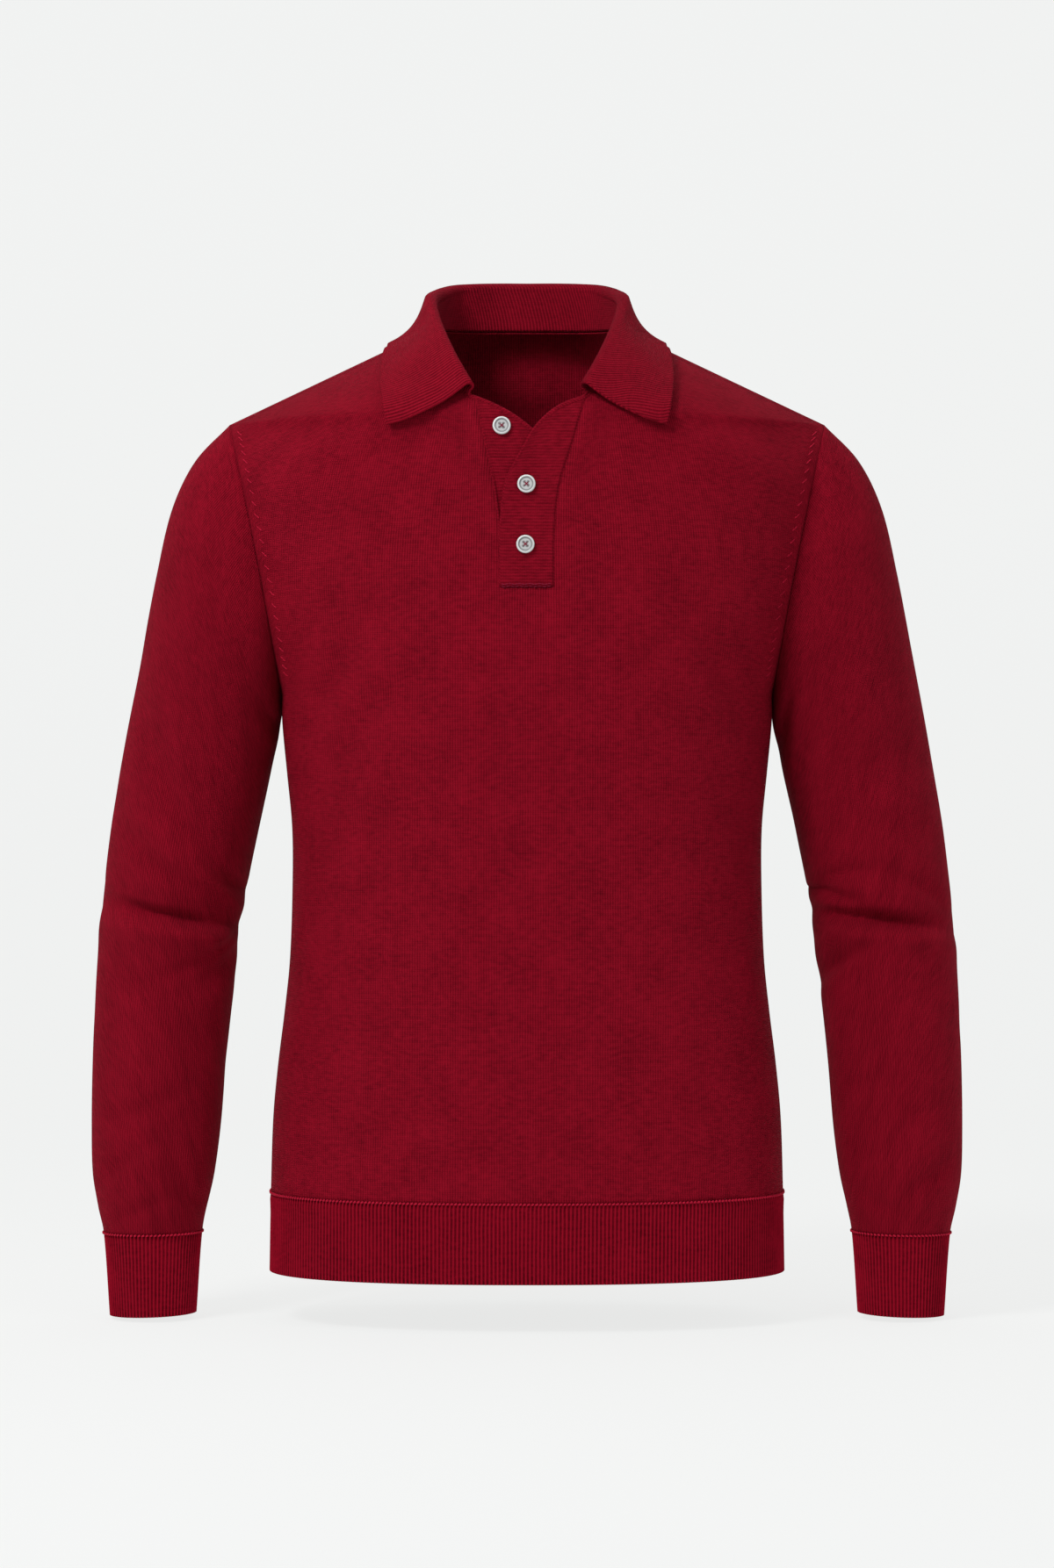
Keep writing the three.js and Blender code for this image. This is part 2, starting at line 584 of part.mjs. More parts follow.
function collarRow(along) {
  const side = Math.sign(along) || 1;
  const half = Math.abs(along);
  const spot = (at) => {
    const c = collarAt(at);
    return { roll: new THREE.Vector3(c.rollX, c.rollY, c.rollZ), edge: new THREE.Vector3(c.edgeX, c.edgeY, c.edgeZ) };
  };
  const { roll, edge } = spot(half);
  const seam = necklinePoint(half);
  const step = 0.02;
  const tangent = spot(Math.min(half + step, 1)).roll.sub(spot(Math.max(half - step, 0)).roll);
  if (half < step) tangent.set(1, 0, 0);
  const down = edge.clone().sub(roll).normalize();
  const out = tangent.clone().cross(down).normalize();
  const { bend, swell } = collarAt(half);
  const centre = roll.clone().addScaledVector(down, bend);
  const inside = centre.clone().addScaledVector(out, -bend);
  const outside = centre.clone().addScaledVector(out, bend);
  const rise = inside.clone().sub(seam).normalize();
  const foot = seam.clone().addScaledVector(rise, STAND_LIFT).addScaledVector(out, STAND_RAISE * smooth(half, 0.6, 0.75));
  const row = [];
  for (let i = 0; i < STAND_STEPS; i += 1) row.push(foot.clone().lerp(inside, i / STAND_STEPS));
  for (let i = 0; i <= ROLL_STEPS; i += 1) {
    const turn = Math.PI * (i / ROLL_STEPS - 0.5);
    row.push(centre.clone().addScaledVector(out, bend * Math.sin(turn)).addScaledVector(down, -bend * Math.cos(turn)));
  }
  for (let i = 1; i <= FALL_STEPS; i += 1) {
    const t = i / FALL_STEPS;
    const belly = Math.sin(Math.PI * t);
    const point = outside.clone().lerp(edge, t).addScaledVector(out, swell * belly);
    point.z -= FRONT_EDGE_BOW * belly * smooth(half, 0.8, 1);
    row.push(clearOfTorso(point, COLLAR_CLEARANCE));
  }
  return row.map((point) => point.multiply(new THREE.Vector3(side, 1, 1)));
}

// Over the ridge the cloth counts as falling this much for each millimetre away from the middle
const RIDGE_SLOPE = 0.25;

// Moves a point out along the torso's own outward direction until it clears the panels
function clearOfTorso(point, clearance) {
  const inside = (x, y, z) => {
    const isFront = y < MID_Y;
    const drop = shoulderHeight(x) - z;
    if (drop < 0 && Math.abs(x) > NECK_X) return drop - Math.abs(y - MID_Y) * RIDGE_SLOPE;
    return torsoDepth(x, z, isFront) - Math.abs(y - MID_Y);
  };
  const step = 0.5;
  const moved = point.clone();
  for (let i = 0; i < 3; i += 1) {
    const { x, y, z } = moved;
    const slope = new THREE.Vector3(
      inside(x + step, y, z) - inside(x - step, y, z),
      inside(x, y + step, z) - inside(x, y - step, z),
      inside(x, y, z + step) - inside(x, y, z - step),
    ).divideScalar(2 * step);
    const distance = -inside(x, y, z) / slope.length();
    if (distance < clearance) moved.addScaledVector(slope.normalize(), distance - clearance);
  }
  return moved;
}

const COLLAR_PLACES = [0, 0.17, 0.25, 0.33, 0.39, 0.45, 0.5, 0.54, 0.6, 0.66, 0.72, 0.78, 0.84, 0.9, 0.95, 1];
const collarColumns = [...COLLAR_PLACES.slice(1).reverse().map((along) => -along), ...COLLAR_PLACES];

function collarGrid() {
  const rows = collarColumns.map((along) => collarRow(along));
  const columns = rows[0].length;
  const points = rows.flat();
  const normals = gridNormals(points, rows.length, columns, false);
  return { points, normals, rows: rows.length, columns };
}

function collar() {
  const { points, normals, rows, columns } = collarGrid();
  return wall(points, offsetPoints(points, normals, -WALL.collar), gridCells(rows, columns, false));
}

// Tape over the neck seam inside the back: the collar stand's own points, moved off it
function neckTape() {
  const { points, normals, rows, columns } = collarGrid();
  const spots = [...Array(rows).keys()].filter((r) => Math.abs(collarColumns[r]) <= TAPE_REACH);
  const low = spots.map((r) => r * columns);
  const path = low.flatMap((i) => [points[i], points[i].clone().lerp(points[i + 1], TAPE_SHARE)]);
  const out = low.flatMap((i) => [normals[i], normals[i].clone().lerp(normals[i + 1], TAPE_SHARE).normalize()]);
  const outer = offsetPoints(path, out, TAPE_LIFT + WALL.tape);
  return wall(outer, offsetPoints(path, out, TAPE_LIFT), gridCells(spots.length, 2, false));
}

// Placket strips: a grid between two edges, from the slit's end up to the open neck edge
const STRIP_ROWS = 9;
const STRIP_COLUMNS = 4;

// How much wider than the open neck edge a strip may be at its foot, so that it narrows towards the top
const TOP_TAPER = 60;

function neckEdgeHeight(x, edgeX) {
  return lerp(PLACKET.crossZ, PLACKET.high - 1, (x - PLACKET.crossX) / (edgeX - PLACKET.crossX));
}

function stripPoint(isOver, across, climb) {
  const topEdge = slitAt(PLACKET.high)[isOver ? 'right' : 'left'];
  const low = PLACKET.low + SEAM_GAP;
  const topX = lerp(topEdge, PLACKET.crossX, across);
  const z = lerp(low, neckEdgeHeight(topX, topEdge), climb);
  const slit = slitAt(z);
  const attached = isOver ? slit.right - SEAM_GAP : slit.left + SEAM_GAP;
  const room = slit.right - slit.left - 2 * SEAM_GAP;
  const width = Math.min(PLACKET.width, room, Math.abs(attached - PLACKET.crossX) + TOP_TAPER * (1 - climb));
  const x = attached + (isOver ? -1 : 1) * width * across;
  const overEdge = slit.right - Math.min(PLACKET.width, room);
  const under = smooth(x, slit.left - 1, Math.max(overEdge - UNDER_CLEAR, slit.left + 0.5));
  const sink = isOver ? -PLACKET.proud : under * (WALL.strip - PLACKET.proud + SEAM_GAP);
  const point = torsoPoint(x, z, true);
  point.y += sink;
  return point;
}

function placketStrip(isOver) {
  const points = [];
  for (let r = 0; r <= STRIP_ROWS; r += 1) {
    for (let c = 0; c <= STRIP_COLUMNS; c += 1) {
      const across = isOver ? 1 - c / STRIP_COLUMNS : c / STRIP_COLUMNS;
      points.push(stripPoint(isOver, across, r / STRIP_ROWS));
    }
  }
  const inner = points.map((point) => point.clone().add(new THREE.Vector3(0, WALL.strip, 0)));
  return wall(points, inner, gridCells(STRIP_ROWS + 1, STRIP_COLUMNS + 1, false));
}

// Button: a turned disc with a raised rim and four sewing holes
function toSolid(geometry) {
  const bare = geometry.clone();
  bare.deleteAttribute('normal');
  bare.deleteAttribute('uv');
  const merged = BufferGeometryUtils.mergeVertices(bare, 1e-4);
  const vertProperties = new Float32Array(merged.attributes.position.array);
  const triVerts = new Uint32Array(merged.index.array);
  return new wasm.Manifold(new wasm.Mesh({ numProp: 3, vertProperties, triVerts }));
}

function button() {
  const { radius, thick, rim, recess, hole, holeStep, backRound, faceRound, dish } = BUTTON;
  const profile = [
    [0, 0], [radius - backRound, 0], [radius, thick * 0.45], [radius, thick * 0.7], [radius - faceRound, thick],
    [radius - rim, thick], [radius - rim - dish, thick - recess], [0, thick - recess],
  ].map(([r, h]) => new THREE.Vector2(r, h));
  let solid = toSolid(new THREE.LatheGeometry(profile, 18));
  for (const [x, z] of [[1, 1], [1, -1], [-1, 1], [-1, -1]]) {
    const drill = new THREE.CylinderGeometry(hole, hole, 3 * thick, 6).translate(x * holeStep, 0, z * holeStep);
    solid = solid.subtract(toSolid(drill));
  }
  const mesh = solid.getMesh();
  const geometry = new THREE.BufferGeometry();
  geometry.setAttribute('position', new THREE.BufferAttribute(mesh.vertProperties, 3));
  geometry.setIndex(new THREE.BufferAttribute(mesh.triVerts, 1));
  geometry.computeVertexNormals();
  return geometry;
}

// Finds the strip's outer face under a button and its outward direction there
function seatOnStrip(x, z, isOver) {
  const edge = 1;
  const depth = (atX, atZ) => {
    const slit = slitAt(atZ);
    const overEdge = slit.right - PLACKET.width;
    const under = smooth(atX, slit.left - 1, Math.max(overEdge - UNDER_CLEAR, slit.left + 0.5));
    const sink = isOver ? -PLACKET.proud : under * (WALL.strip - PLACKET.proud + SEAM_GAP);
    return torsoPoint(atX, atZ, true).y + sink;
  };
  const slopeX = (depth(x + edge, z) - depth(x - edge, z)) / (2 * edge);
  const slopeZ = (depth(x, z + edge) - depth(x, z - edge)) / (2 * edge);
  return { place: new THREE.Vector3(x, depth(x, z), z), out: new THREE.Vector3(slopeX, -1, slopeZ).normalize() };
}

const shirt = new THREE.Group();

function addPiece(name, geometry, color, roughness) {
  const material = new THREE.MeshStandardMaterial({ color, roughness, metalness: 0 });
  const mesh = new THREE.Mesh(geometry, material);
  mesh.name = name;
  shirt.add(mesh);
  return mesh;
}

addPiece('front_panel', frontPanel(), COLOURS.cloth, 0.9);
addPiece('back_panel', backPanel(), COLOURS.cloth, 0.9);
addPiece('sleeve_left', sleeve(1), COLOURS.cloth, 0.9);
addPiece('sleeve_right', sleeve(-1), COLOURS.cloth, 0.9);
addPiece('cuff_left', cuff(1), COLOURS.rib, 0.9);
addPiece('cuff_right', cuff(-1), COLOURS.rib, 0.9);
addPiece('hem_rib', hemRib(), COLOURS.rib, 0.9);
addPiece('collar', collar(), COLOURS.cloth, 0.9);
addPiece('neck_tape', neckTape(), COLOURS.cloth, 0.9);
addPiece('placket_over', placketStrip(true), COLOURS.cloth, 0.9);
addPiece('placket_under', placketStrip(false), COLOURS.cloth, 0.9);
BUTTON_PLACES.forEach(({ name, x, z, on }) => {
  const mesh = addPiece(name, button(), COLOURS.button, 0.35);
  const { place, out } = seatOnStrip(x, z, on === 'over');
  mesh.position.copy(place.addScaledVector(out, 0.35));
  mesh.quaternion.setFromUnitVectors(new THREE.Vector3(0, 1, 0), out);
});

export default shirt;
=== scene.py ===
# %% [markdown]
# # A knitted polo shirt, built as a knitter would make it
# The shirt has a front, a back, two sleeves, ribbed cuffs and hem, a turned-down collar, a placket of
# two strips and three buttons. Each piece could be modelled by hand from a box, or draped by a cloth
# simulation. Here each one is a function of two parameters, because knitwear that is fully fashioned
# is shaped row by row in just this way, and the same sizes then drive every piece.

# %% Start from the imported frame
import math

import bpy
import numpy as np
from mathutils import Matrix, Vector


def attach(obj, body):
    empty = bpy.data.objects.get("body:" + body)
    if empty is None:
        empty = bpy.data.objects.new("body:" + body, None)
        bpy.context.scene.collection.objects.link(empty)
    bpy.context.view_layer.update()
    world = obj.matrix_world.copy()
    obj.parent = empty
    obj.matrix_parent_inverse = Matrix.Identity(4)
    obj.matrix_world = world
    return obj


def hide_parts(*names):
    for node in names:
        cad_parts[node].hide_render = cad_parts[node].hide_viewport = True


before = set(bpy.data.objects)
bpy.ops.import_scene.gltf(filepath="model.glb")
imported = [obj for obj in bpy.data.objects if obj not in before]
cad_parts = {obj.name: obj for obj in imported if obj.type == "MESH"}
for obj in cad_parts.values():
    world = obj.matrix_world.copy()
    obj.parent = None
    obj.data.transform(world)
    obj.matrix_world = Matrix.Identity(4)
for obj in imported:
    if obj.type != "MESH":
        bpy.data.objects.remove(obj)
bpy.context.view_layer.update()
MM = 0.001


# %% [markdown]
# ## Tables of sizes
# A tailor writes a garment as a few measurements at named heights. A table could be joined by straight
# lines, but the cloth would then show a crease at each row. A curve through the rows (a cubic whose
# slope at each row is that of its two neighbours) keeps the outline soft.

# %% Read a table through a smooth curve
def smooth_table(columns, rows):
    """Cubic Hermite curve through the rows: the first column is the key, the others are named values."""
    data = np.array(rows, float)
    key = data[:, 0]
    slope = np.empty_like(data)
    slope[1:-1] = (data[2:] - data[:-2]) / (key[2:] - key[:-2])[:, None]
    slope[0] = (data[1] - data[0]) / (key[1] - key[0])
    slope[-1] = (data[-1] - data[-2]) / (key[-1] - key[-2])

    def read(at):
        k = np.clip(np.asarray(at, float), key[0], key[-1])
        i = np.clip(np.searchsorted(key, k, side="right") - 1, 0, len(key) - 2)
        span = key[i + 1] - key[i]
        t = (k - key[i]) / span
        found = {}
        for c, name in enumerate(columns[1:], start=1):
            low = (1 + 2 * t) * (1 - t) ** 2 * data[i, c] + t * (1 - t) ** 2 * span * slope[i, c]
            high = t * t * (3 - 2 * t) * data[i + 1, c] - t * t * (1 - t) * span * slope[i + 1, c]
            found[name] = low + high
        return found

    return read


def smooth_step(value, low, high):
    """0 below low, 1 above high, and an S curve between them."""
    t = np.clip((np.asarray(value, float) - low) / (high - low), 0, 1)
    return t * t * (3 - 2 * t)


def mix(a, b, t):
    return a + (b - a) * t


def arc(share):
    return np.sin(np.asarray(share) * math.pi / 2)


def arc_share(sine):
    return np.arcsin(np.clip(sine, -1, 1)) * 2 / math.pi


# %% The torso's sizes, in millimetres
MID_Y = 2
SEAM_GAP = 0.35
WALL = {"jersey": 1.4, "rib": 2.0, "collar": 1.9, "strip": 1.6, "tape": 1.0}
torso_at = smooth_table(["height", "half_width", "front", "back"], [
    [-674, 184.5, 113, 107],
    [-618, 183.5, 115, 108],
    [-564, 181.8, 113, 104],
    [-526, 178.3, 111, 101],
    [-488, 173.6, 110, 99],
    [-450, 169.8, 109, 98],
    [-394, 168.0, 110, 99],
    [-356, 168.4, 112, 102],
    [-318, 172.0, 114, 105],
    [-280, 175.5, 116, 108],
    [-261, 175.5, 117, 109],
    [-190, 176.0, 117, 112],
    [-120, 176.0, 113, 112],
    [-60, 176.0, 106, 108],
    [0, 176.0, 101, 101],
    [50, 176.0, 98, 96],
])
SQUARENESS = 2.35
RIB_SEAM = -618
HEM = -674
ARMHOLE = {"top_x": 213, "top_z": -68.5, "low_x": 175.5, "low_z": -261.5, "front": 52, "back": 56, "bow": 3}
NECK_X = 71
SHOULDER_SLOPE = 0.475
SHOULDER_DROP = {"front": 75, "back": 50}
NAPE_RISE = 35
NAPE_WIDTH = 3.5
SHOULDER_SHARE = 0.97
neckline_at = smooth_table(["along", "x", "z"], [
    [0, 0, 6],
    [0.12, 18, 6],
    [0.24, 35, 5.6],
    [0.36, 50, 4.6],
    [0.5, 64, 2.6],
    [0.57, 69.5, 0.8],
    [0.6, 71, -1],
    [0.64, 70.7, -4.1],
    [0.7, 69, -10],
    [0.8, 63, -25],
    [0.9, 53, -42],
    [1, 40.5, -57],
])


# %% The torso as a surface: its depth at any width and height
def armhole_height(angle):
    """The armhole is a slanted loop: angle 0 is the shoulder point and a half turn is the armpit."""
    top, low = ARMHOLE["top_z"], ARMHOLE["low_z"]
    return (top + low) / 2 + (top - low) / 2 * np.cos(angle)


def armhole_share(height):
    return np.clip((height - ARMHOLE["low_z"]) / (ARMHOLE["top_z"] - ARMHOLE["low_z"]), 0, 1)


def armhole_x(height):
    share = armhole_share(height)
    return mix(ARMHOLE["low_x"], ARMHOLE["top_x"], share) - ARMHOLE["bow"] * 4 * share * (1 - share)


def side_x(height):
    """Half the torso's width: the side seam below the armpit and the armhole seam above it."""
    return np.where(height > ARMHOLE["low_z"], armhole_x(height), torso_at(height)["half_width"])


def shoulder_height(x):
    return -SHOULDER_SLOPE * np.maximum(np.abs(x) - NECK_X, 0) - 1


def over_shoulder(drop, reach):
    """0 on the shoulder line and 1 once the cloth has fallen by reach, rounding quickly at first."""
    return arc(np.clip(drop / reach, 0, 1) ** 0.8)


def torso_depth(x, height, part):
    """A squarish oval across (a superellipse) that closes on the side or armhole seam, times the
    shoulder's rise."""
    x, height = np.broadcast_arrays(np.asarray(x, float), np.asarray(height, float))
    side = side_x(height)
    across = np.minimum(np.abs(x) / side, 1)
    full = torso_at(height)[part]
    reach = SHOULDER_DROP[part]
    side_full = np.maximum(full * over_shoulder(shoulder_height(side) - height, reach), 1e-6)
    share = armhole_share(height)
    target = np.where(height > ARMHOLE["low_z"], ARMHOLE[part] * 2 * np.sqrt(share * (1 - share)), 0)
    ratio = np.where(height < ARMHOLE["top_z"], target / side_full, 50)
    closing = SHOULDER_SHARE * ratio / (1 + ratio**6) ** (1 / 6)
    spread = (1 - closing**SQUARENESS) ** (1 / SQUARENESS)
    curve = (1 - np.minimum(spread * across, 1) ** SQUARENESS) ** (1 / SQUARENESS)
    nape = NAPE_RISE * np.maximum(1 - (np.abs(x) / NECK_X) ** NAPE_WIDTH, 0) if part == "back" else 0
    rise = over_shoulder(shoulder_height(x) + nape - height, reach)
    return full * rise * curve + (target - side_full * closing) * across**10


# Soft drag lines and hollows that the cloth shows from the chest down: a place, a length along a
# direction (degrees from level), a half width across it, and a depth that is inwards when positive
DRAG_BOW = 0.0016
DRAG_COLUMNS = ["part", "x", "z", "angle", "half_length", "half_width", "depth"]
DRAGS = [
    ["front", -142, -262, 62, 46, 9, 4.2],
    ["front", -126, -300, 55, 70, 11, 3.0],
    ["front", -112, -330, 48, 60, 10, -1.8],
    ["front", 144, -258, -62, 44, 9, 3.9],
    ["front", 128, -306, -54, 66, 11, 2.8],
    ["front", 112, -336, -46, 56, 10, -1.7],
    ["front", -160, -436, 58, 34, 7, 3.6],
    ["front", -150, -470, 50, 46, 9, -2.1],
    ["front", 162, -428, -60, 36, 7, 3.3],
    ["front", 152, -470, -52, 50, 10, 2.7],
    ["front", -158, -520, 44, 44, 9, 2.7],
    ["front", 158, -548, -38, 46, 9, 2.4],
    ["front", -96, -566, 16, 70, 12, 2.2],
    ["front", -40, -590, -10, 60, 10, 1.7],
    ["front", 70, -592, -12, 90, 11, 2.0],
    ["front", -60, -470, 30, 70, 18, 1.5],
    ["front", 66, -500, -34, 64, 16, 1.5],
    ["front", -10, -330, 4, 110, 26, 1.5],
    ["front", 96, -196, -20, 50, 14, 1.5],
    ["front", -90, -190, 24, 54, 15, 1.5],
    ["front", -96, -96, 26, 50, 12, 2.2],
    ["front", 98, -100, -28, 46, 11, 2.1],
    ["back", -140, -258, 60, 50, 10, 3.9],
    ["back", 142, -262, -58, 48, 10, 3.9],
    ["back", -120, -310, 50, 64, 12, 2.7],
    ["back", 118, -318, -52, 60, 12, 2.7],
    ["back", 0, -395, 3, 120, 12, 3.3],
    ["back", 14, -430, -4, 110, 11, 3.0],
    ["back", -20, -362, -3, 100, 13, 2.1],
    ["back", -150, -500, -30, 46, 10, 2.4],
    ["back", 152, -486, 32, 42, 10, 2.4],
    ["back", 0, -40, 0, 64, 11, 2.1],
]


def drag_depth(x, z, part):
    """Each drag is a bell across its short way and a longer bell along its line."""
    total = np.zeros(np.broadcast(x, z).shape)
    for row in DRAGS:
        drag = dict(zip(DRAG_COLUMNS, row))
        if drag["part"] != part:
            continue
        turn = math.radians(drag["angle"])
        along = (x - drag["x"]) * math.cos(turn) + (z - drag["z"]) * math.sin(turn)
        across = (z - drag["z"]) * math.cos(turn) - (x - drag["x"]) * math.sin(turn)
        bend = across + DRAG_BOW * along**2
        bell = np.exp(-((along / drag["half_length"]) ** 2) - (bend / drag["half_width"]) ** 2)
        total += drag["depth"] * bell
    return total


def torso_points(x, height, part):
    """The torso's outer face as an array of points."""
    x, height = np.broadcast_arrays(np.asarray(x, float), np.asarray(height, float))
    sign = -1 if part == "front" else 1
    edge = smooth_step(1 - np.abs(x) / side_x(height), 0, 0.08)
    depth = torso_depth(x, height, part) - drag_depth(x, height, part) * edge
    return np.stack([x, MID_Y + sign * depth, height], axis=-1)


print("chest depth", round(float(torso_depth(0, -190, "front") + torso_depth(0, -190, "back"))), "mm")


# %% [markdown]
# ## From a grid of points to a piece of cloth
# A piece of knitting is a grid already: courses across and wales up. The mesh keeps that grid, and its
# UV map holds the real distance along the cloth in metres, so every stitch pattern drawn later has its
# true size and follows the surface. Solidify gives the wall its thickness, from the outer face inwards.

# %% Turn a grid into a mesh
def grid_distance(points, axis):
    """Running distance along one direction of a grid, so that UV units are metres of cloth."""
    gap = np.linalg.norm(np.diff(points, axis=axis), axis=-1)
    start = np.zeros_like(np.take(gap, [0], axis=axis))
    return np.cumsum(np.concatenate([start, gap], axis=axis), axis=axis)


def cloth_piece(name, points_mm, wall_mm, keep=None, wrap=False, uv=None):
    """A quad grid, rows by columns, with metre UVs and a solidified wall. Faces point outwards."""
    points = np.asarray(points_mm, float) * MM
    rows, columns = points.shape[:2]
    last = columns if wrap else columns - 1
    r, c = np.meshgrid(np.arange(rows - 1), np.arange(last), indexing="ij")
    if keep is not None:
        chosen = keep(r, c)
        r, c = r[chosen], c[chosen]
    r, c = r.ravel(), c.ravel()
    right = (c + 1) % columns
    low, high = r * columns, (r + 1) * columns
    quads = np.stack([low + c, low + right, high + right, high + c], 1)
    if uv is None:
        along = grid_distance(points, 1)
        uv = (along - along[:, [columns // 2]], grid_distance(points, 0))
    u, v = uv
    if wrap:
        seam = np.linalg.norm(points[:, 0] - points[:, -1], axis=-1)[:, None]
        u = np.concatenate([u, u[:, [-1]] + seam], axis=1)
        v = np.concatenate([v, v[:, [0]]], axis=1)
    right_uv = c + 1
    corner_u = np.stack([u[r, c], u[r, right_uv], u[r + 1, right_uv], u[r + 1, c]], 1)
    corner_v = np.stack([v[r, c], v[r, right_uv], v[r + 1, right_uv], v[r + 1, c]], 1)
    used, quads = np.unique(quads, return_inverse=True)
    quads = quads.reshape(-1, 4)
    mesh = bpy.data.meshes.new(name)
    mesh.from_pydata(points.reshape(-1, 3)[used], [], quads.tolist())
    layer = mesh.uv_layers.new(name="cloth")
    layer.data.foreach_set("uv", np.stack([corner_u, corner_v], -1).ravel())
    mesh.polygons.foreach_set("use_smooth", np.ones(len(mesh.polygons), bool))
    mesh.update()
    piece = bpy.data.objects.new(name, mesh)
    bpy.context.scene.collection.objects.link(piece)
    solid = piece.modifiers.new("wall", "SOLIDIFY")
    solid.thickness = wall_mm * MM
    solid.offset = -1
    solid.use_even_offset = False
    print(f"{name}: {rows} by {columns} points, {len(quads)} faces")
    return piece


def mesh_piece(name, vertices_mm, faces, smooth=True):
    """A closed mesh from millimetre points and faces."""
    mesh = bpy.data.meshes.new(name)
    mesh.from_pydata((np.asarray(vertices_mm, float) * MM).tolist(), [], faces)
    mesh.polygons.foreach_set("use_smooth", np.full(len(mesh.polygons), smooth))
    mesh.update()
    piece = bpy.data.objects.new(name, mesh)
    bpy.context.scene.collection.objects.link(piece)
    return piece


def surface_normals(points):
    """Unit normals of a grid of points, from the differences of its neighbours."""
    along = np.gradient(points, axis=0)
    across = np.gradient(points, axis=1)
    normal = np.cross(across, along)
    return normal / np.maximum(np.linalg.norm(normal, axis=-1, keepdims=True), 1e-9)


# %% [markdown]
# ## Front and back panels
# The panels could be cut from one tube. They are two pieces here, as knitted: level rows up to the foot
# of the placket, then rows that fan up to the shoulder and the neckline, with the armhole as their edge.
# The slit for the placket spreads apart above the top fastened button, as the open neck pulls it.

# %% Rows and columns that both panels share
PLACKET = {"width": 37, "low": -190, "high": -57, "cross_x": 4, "cross_z": -81, "proud": 0.6}
slit_at = smooth_table(["height", "left", "right"], [
    [-190, -19, 18.6],
    [-150, -19.3, 18.9],
    [-118, -23, 22.5],
    [-90, -28.5, 31],
    [-57, -35.5, 40.5],
])
SEAM_ANGLE = math.radians(15)
LEVEL_ANGLE = math.radians(105)
LEVEL_TOP = float(armhole_height(LEVEL_ANGLE))
SEAM_TOP = float(armhole_height(SEAM_ANGLE))
SEAM_FALL = ARMHOLE["top_z"] - SEAM_TOP
NECK_SHARE = float(arc_share(NECK_X / ARMHOLE["top_x"]))
LEVEL_ROWS, FANNED_ROWS = 118, 44
SHOULDER_COLUMNS, NECK_COLUMNS, SLIT_COLUMNS = 44, 22, 12

level_heights = np.linspace(RIB_SEAM, LEVEL_TOP, LEVEL_ROWS)
shoulder_steps = np.linspace(0, 1, SHOULDER_COLUMNS + 1)
neck_steps = np.linspace(0, 1, NECK_COLUMNS + 1)[1:]


def half_shares(along, top_side, inner_top, inner_low):
    """Each column's share of the row's arc, low down and at the top edge: the shoulder's columns,
    then the neck's."""
    at_neck = float(arc_share(neckline_at(along[0])["x"] / top_side))
    low = np.concatenate([mix(1, NECK_SHARE, shoulder_steps), mix(NECK_SHARE, inner_low, neck_steps)])
    top_x = neckline_at(mix(along[0], along[1], neck_steps))["x"]
    top_x = np.append(top_x[:-1], inner_top)
    top = np.concatenate([mix(1, at_neck, shoulder_steps), arc_share(top_x / top_side)])
    return low, top


def half_tops(along, top, top_side, fall):
    """The height of the top edge at each column: the shoulder line, then the neckline."""
    shoulder = shoulder_height(top_side * arc(top[: SHOULDER_COLUMNS + 1])) - fall
    return np.concatenate([shoulder, neckline_at(mix(along[0], along[1], neck_steps))["z"]])


# %% The front panel
def front_half(sign, edge):
    """One half of the front, side seam first, as x and height arrays."""
    top_side = float(armhole_x(SEAM_TOP))
    slit_top = abs(float(slit_at(PLACKET["high"])[edge]))
    low, top = half_shares((0.64, 1), top_side, slit_top, 0)
    tops = half_tops((0.64, 1), top, top_side, SEAM_FALL)
    angle = np.linspace(LEVEL_ANGLE, SEAM_ANGLE, FANNED_ROWS + 1)[1:]
    loop_z = armhole_height(angle)
    climb = np.concatenate([np.zeros(LEVEL_ROWS), (loop_z - LEVEL_TOP) / (SEAM_TOP - LEVEL_TOP)])[:, None]
    row_side = np.concatenate([side_x(level_heights), armhole_x(loop_z)])[:, None]
    z = np.concatenate([
        np.repeat(level_heights[:, None], len(low), 1),
        mix(LEVEL_TOP, tops[None, :], climb[LEVEL_ROWS:]),
    ])
    slit = np.abs(slit_at(np.maximum(z, PLACKET["low"]))[edge])
    inner = arc_share(slit[:, -1:] / row_side)
    share = np.repeat(low[None, :], len(z), 0)
    neck = slice(SHOULDER_COLUMNS + 1, None)
    share[:, neck] = mix(NECK_SHARE, inner, neck_steps[None, :])
    x = row_side * arc(mix(share, top[None, :], climb**2))
    x[:, -1] = slit[:, -1]
    return sign * x, z


left_x, left_z = front_half(-1, "left")
right_x, right_z = front_half(1, "right")
slit_steps = np.linspace(0, 1, SLIT_COLUMNS + 1)[1:-1]
middle_x = mix(left_x[:, -1:], right_x[:, -1:], slit_steps)
middle_z = mix(left_z[:, -1:], right_z[:, -1:], slit_steps)
front_x = np.concatenate([left_x, middle_x, right_x[:, ::-1]], axis=1)
front_z = np.concatenate([left_z, middle_z, right_z[:, ::-1]], axis=1)
front_points = torso_points(front_x, front_z, "front")
slit_start = SHOULDER_COLUMNS + NECK_COLUMNS


def beside_slit(row, column):
    in_slit = (row >= LEVEL_ROWS - 1) & (column >= slit_start) & (column < slit_start + SLIT_COLUMNS)
    return ~in_slit


front_panel = cloth_piece("front_cloth", front_points, WALL["jersey"], keep=beside_slit)


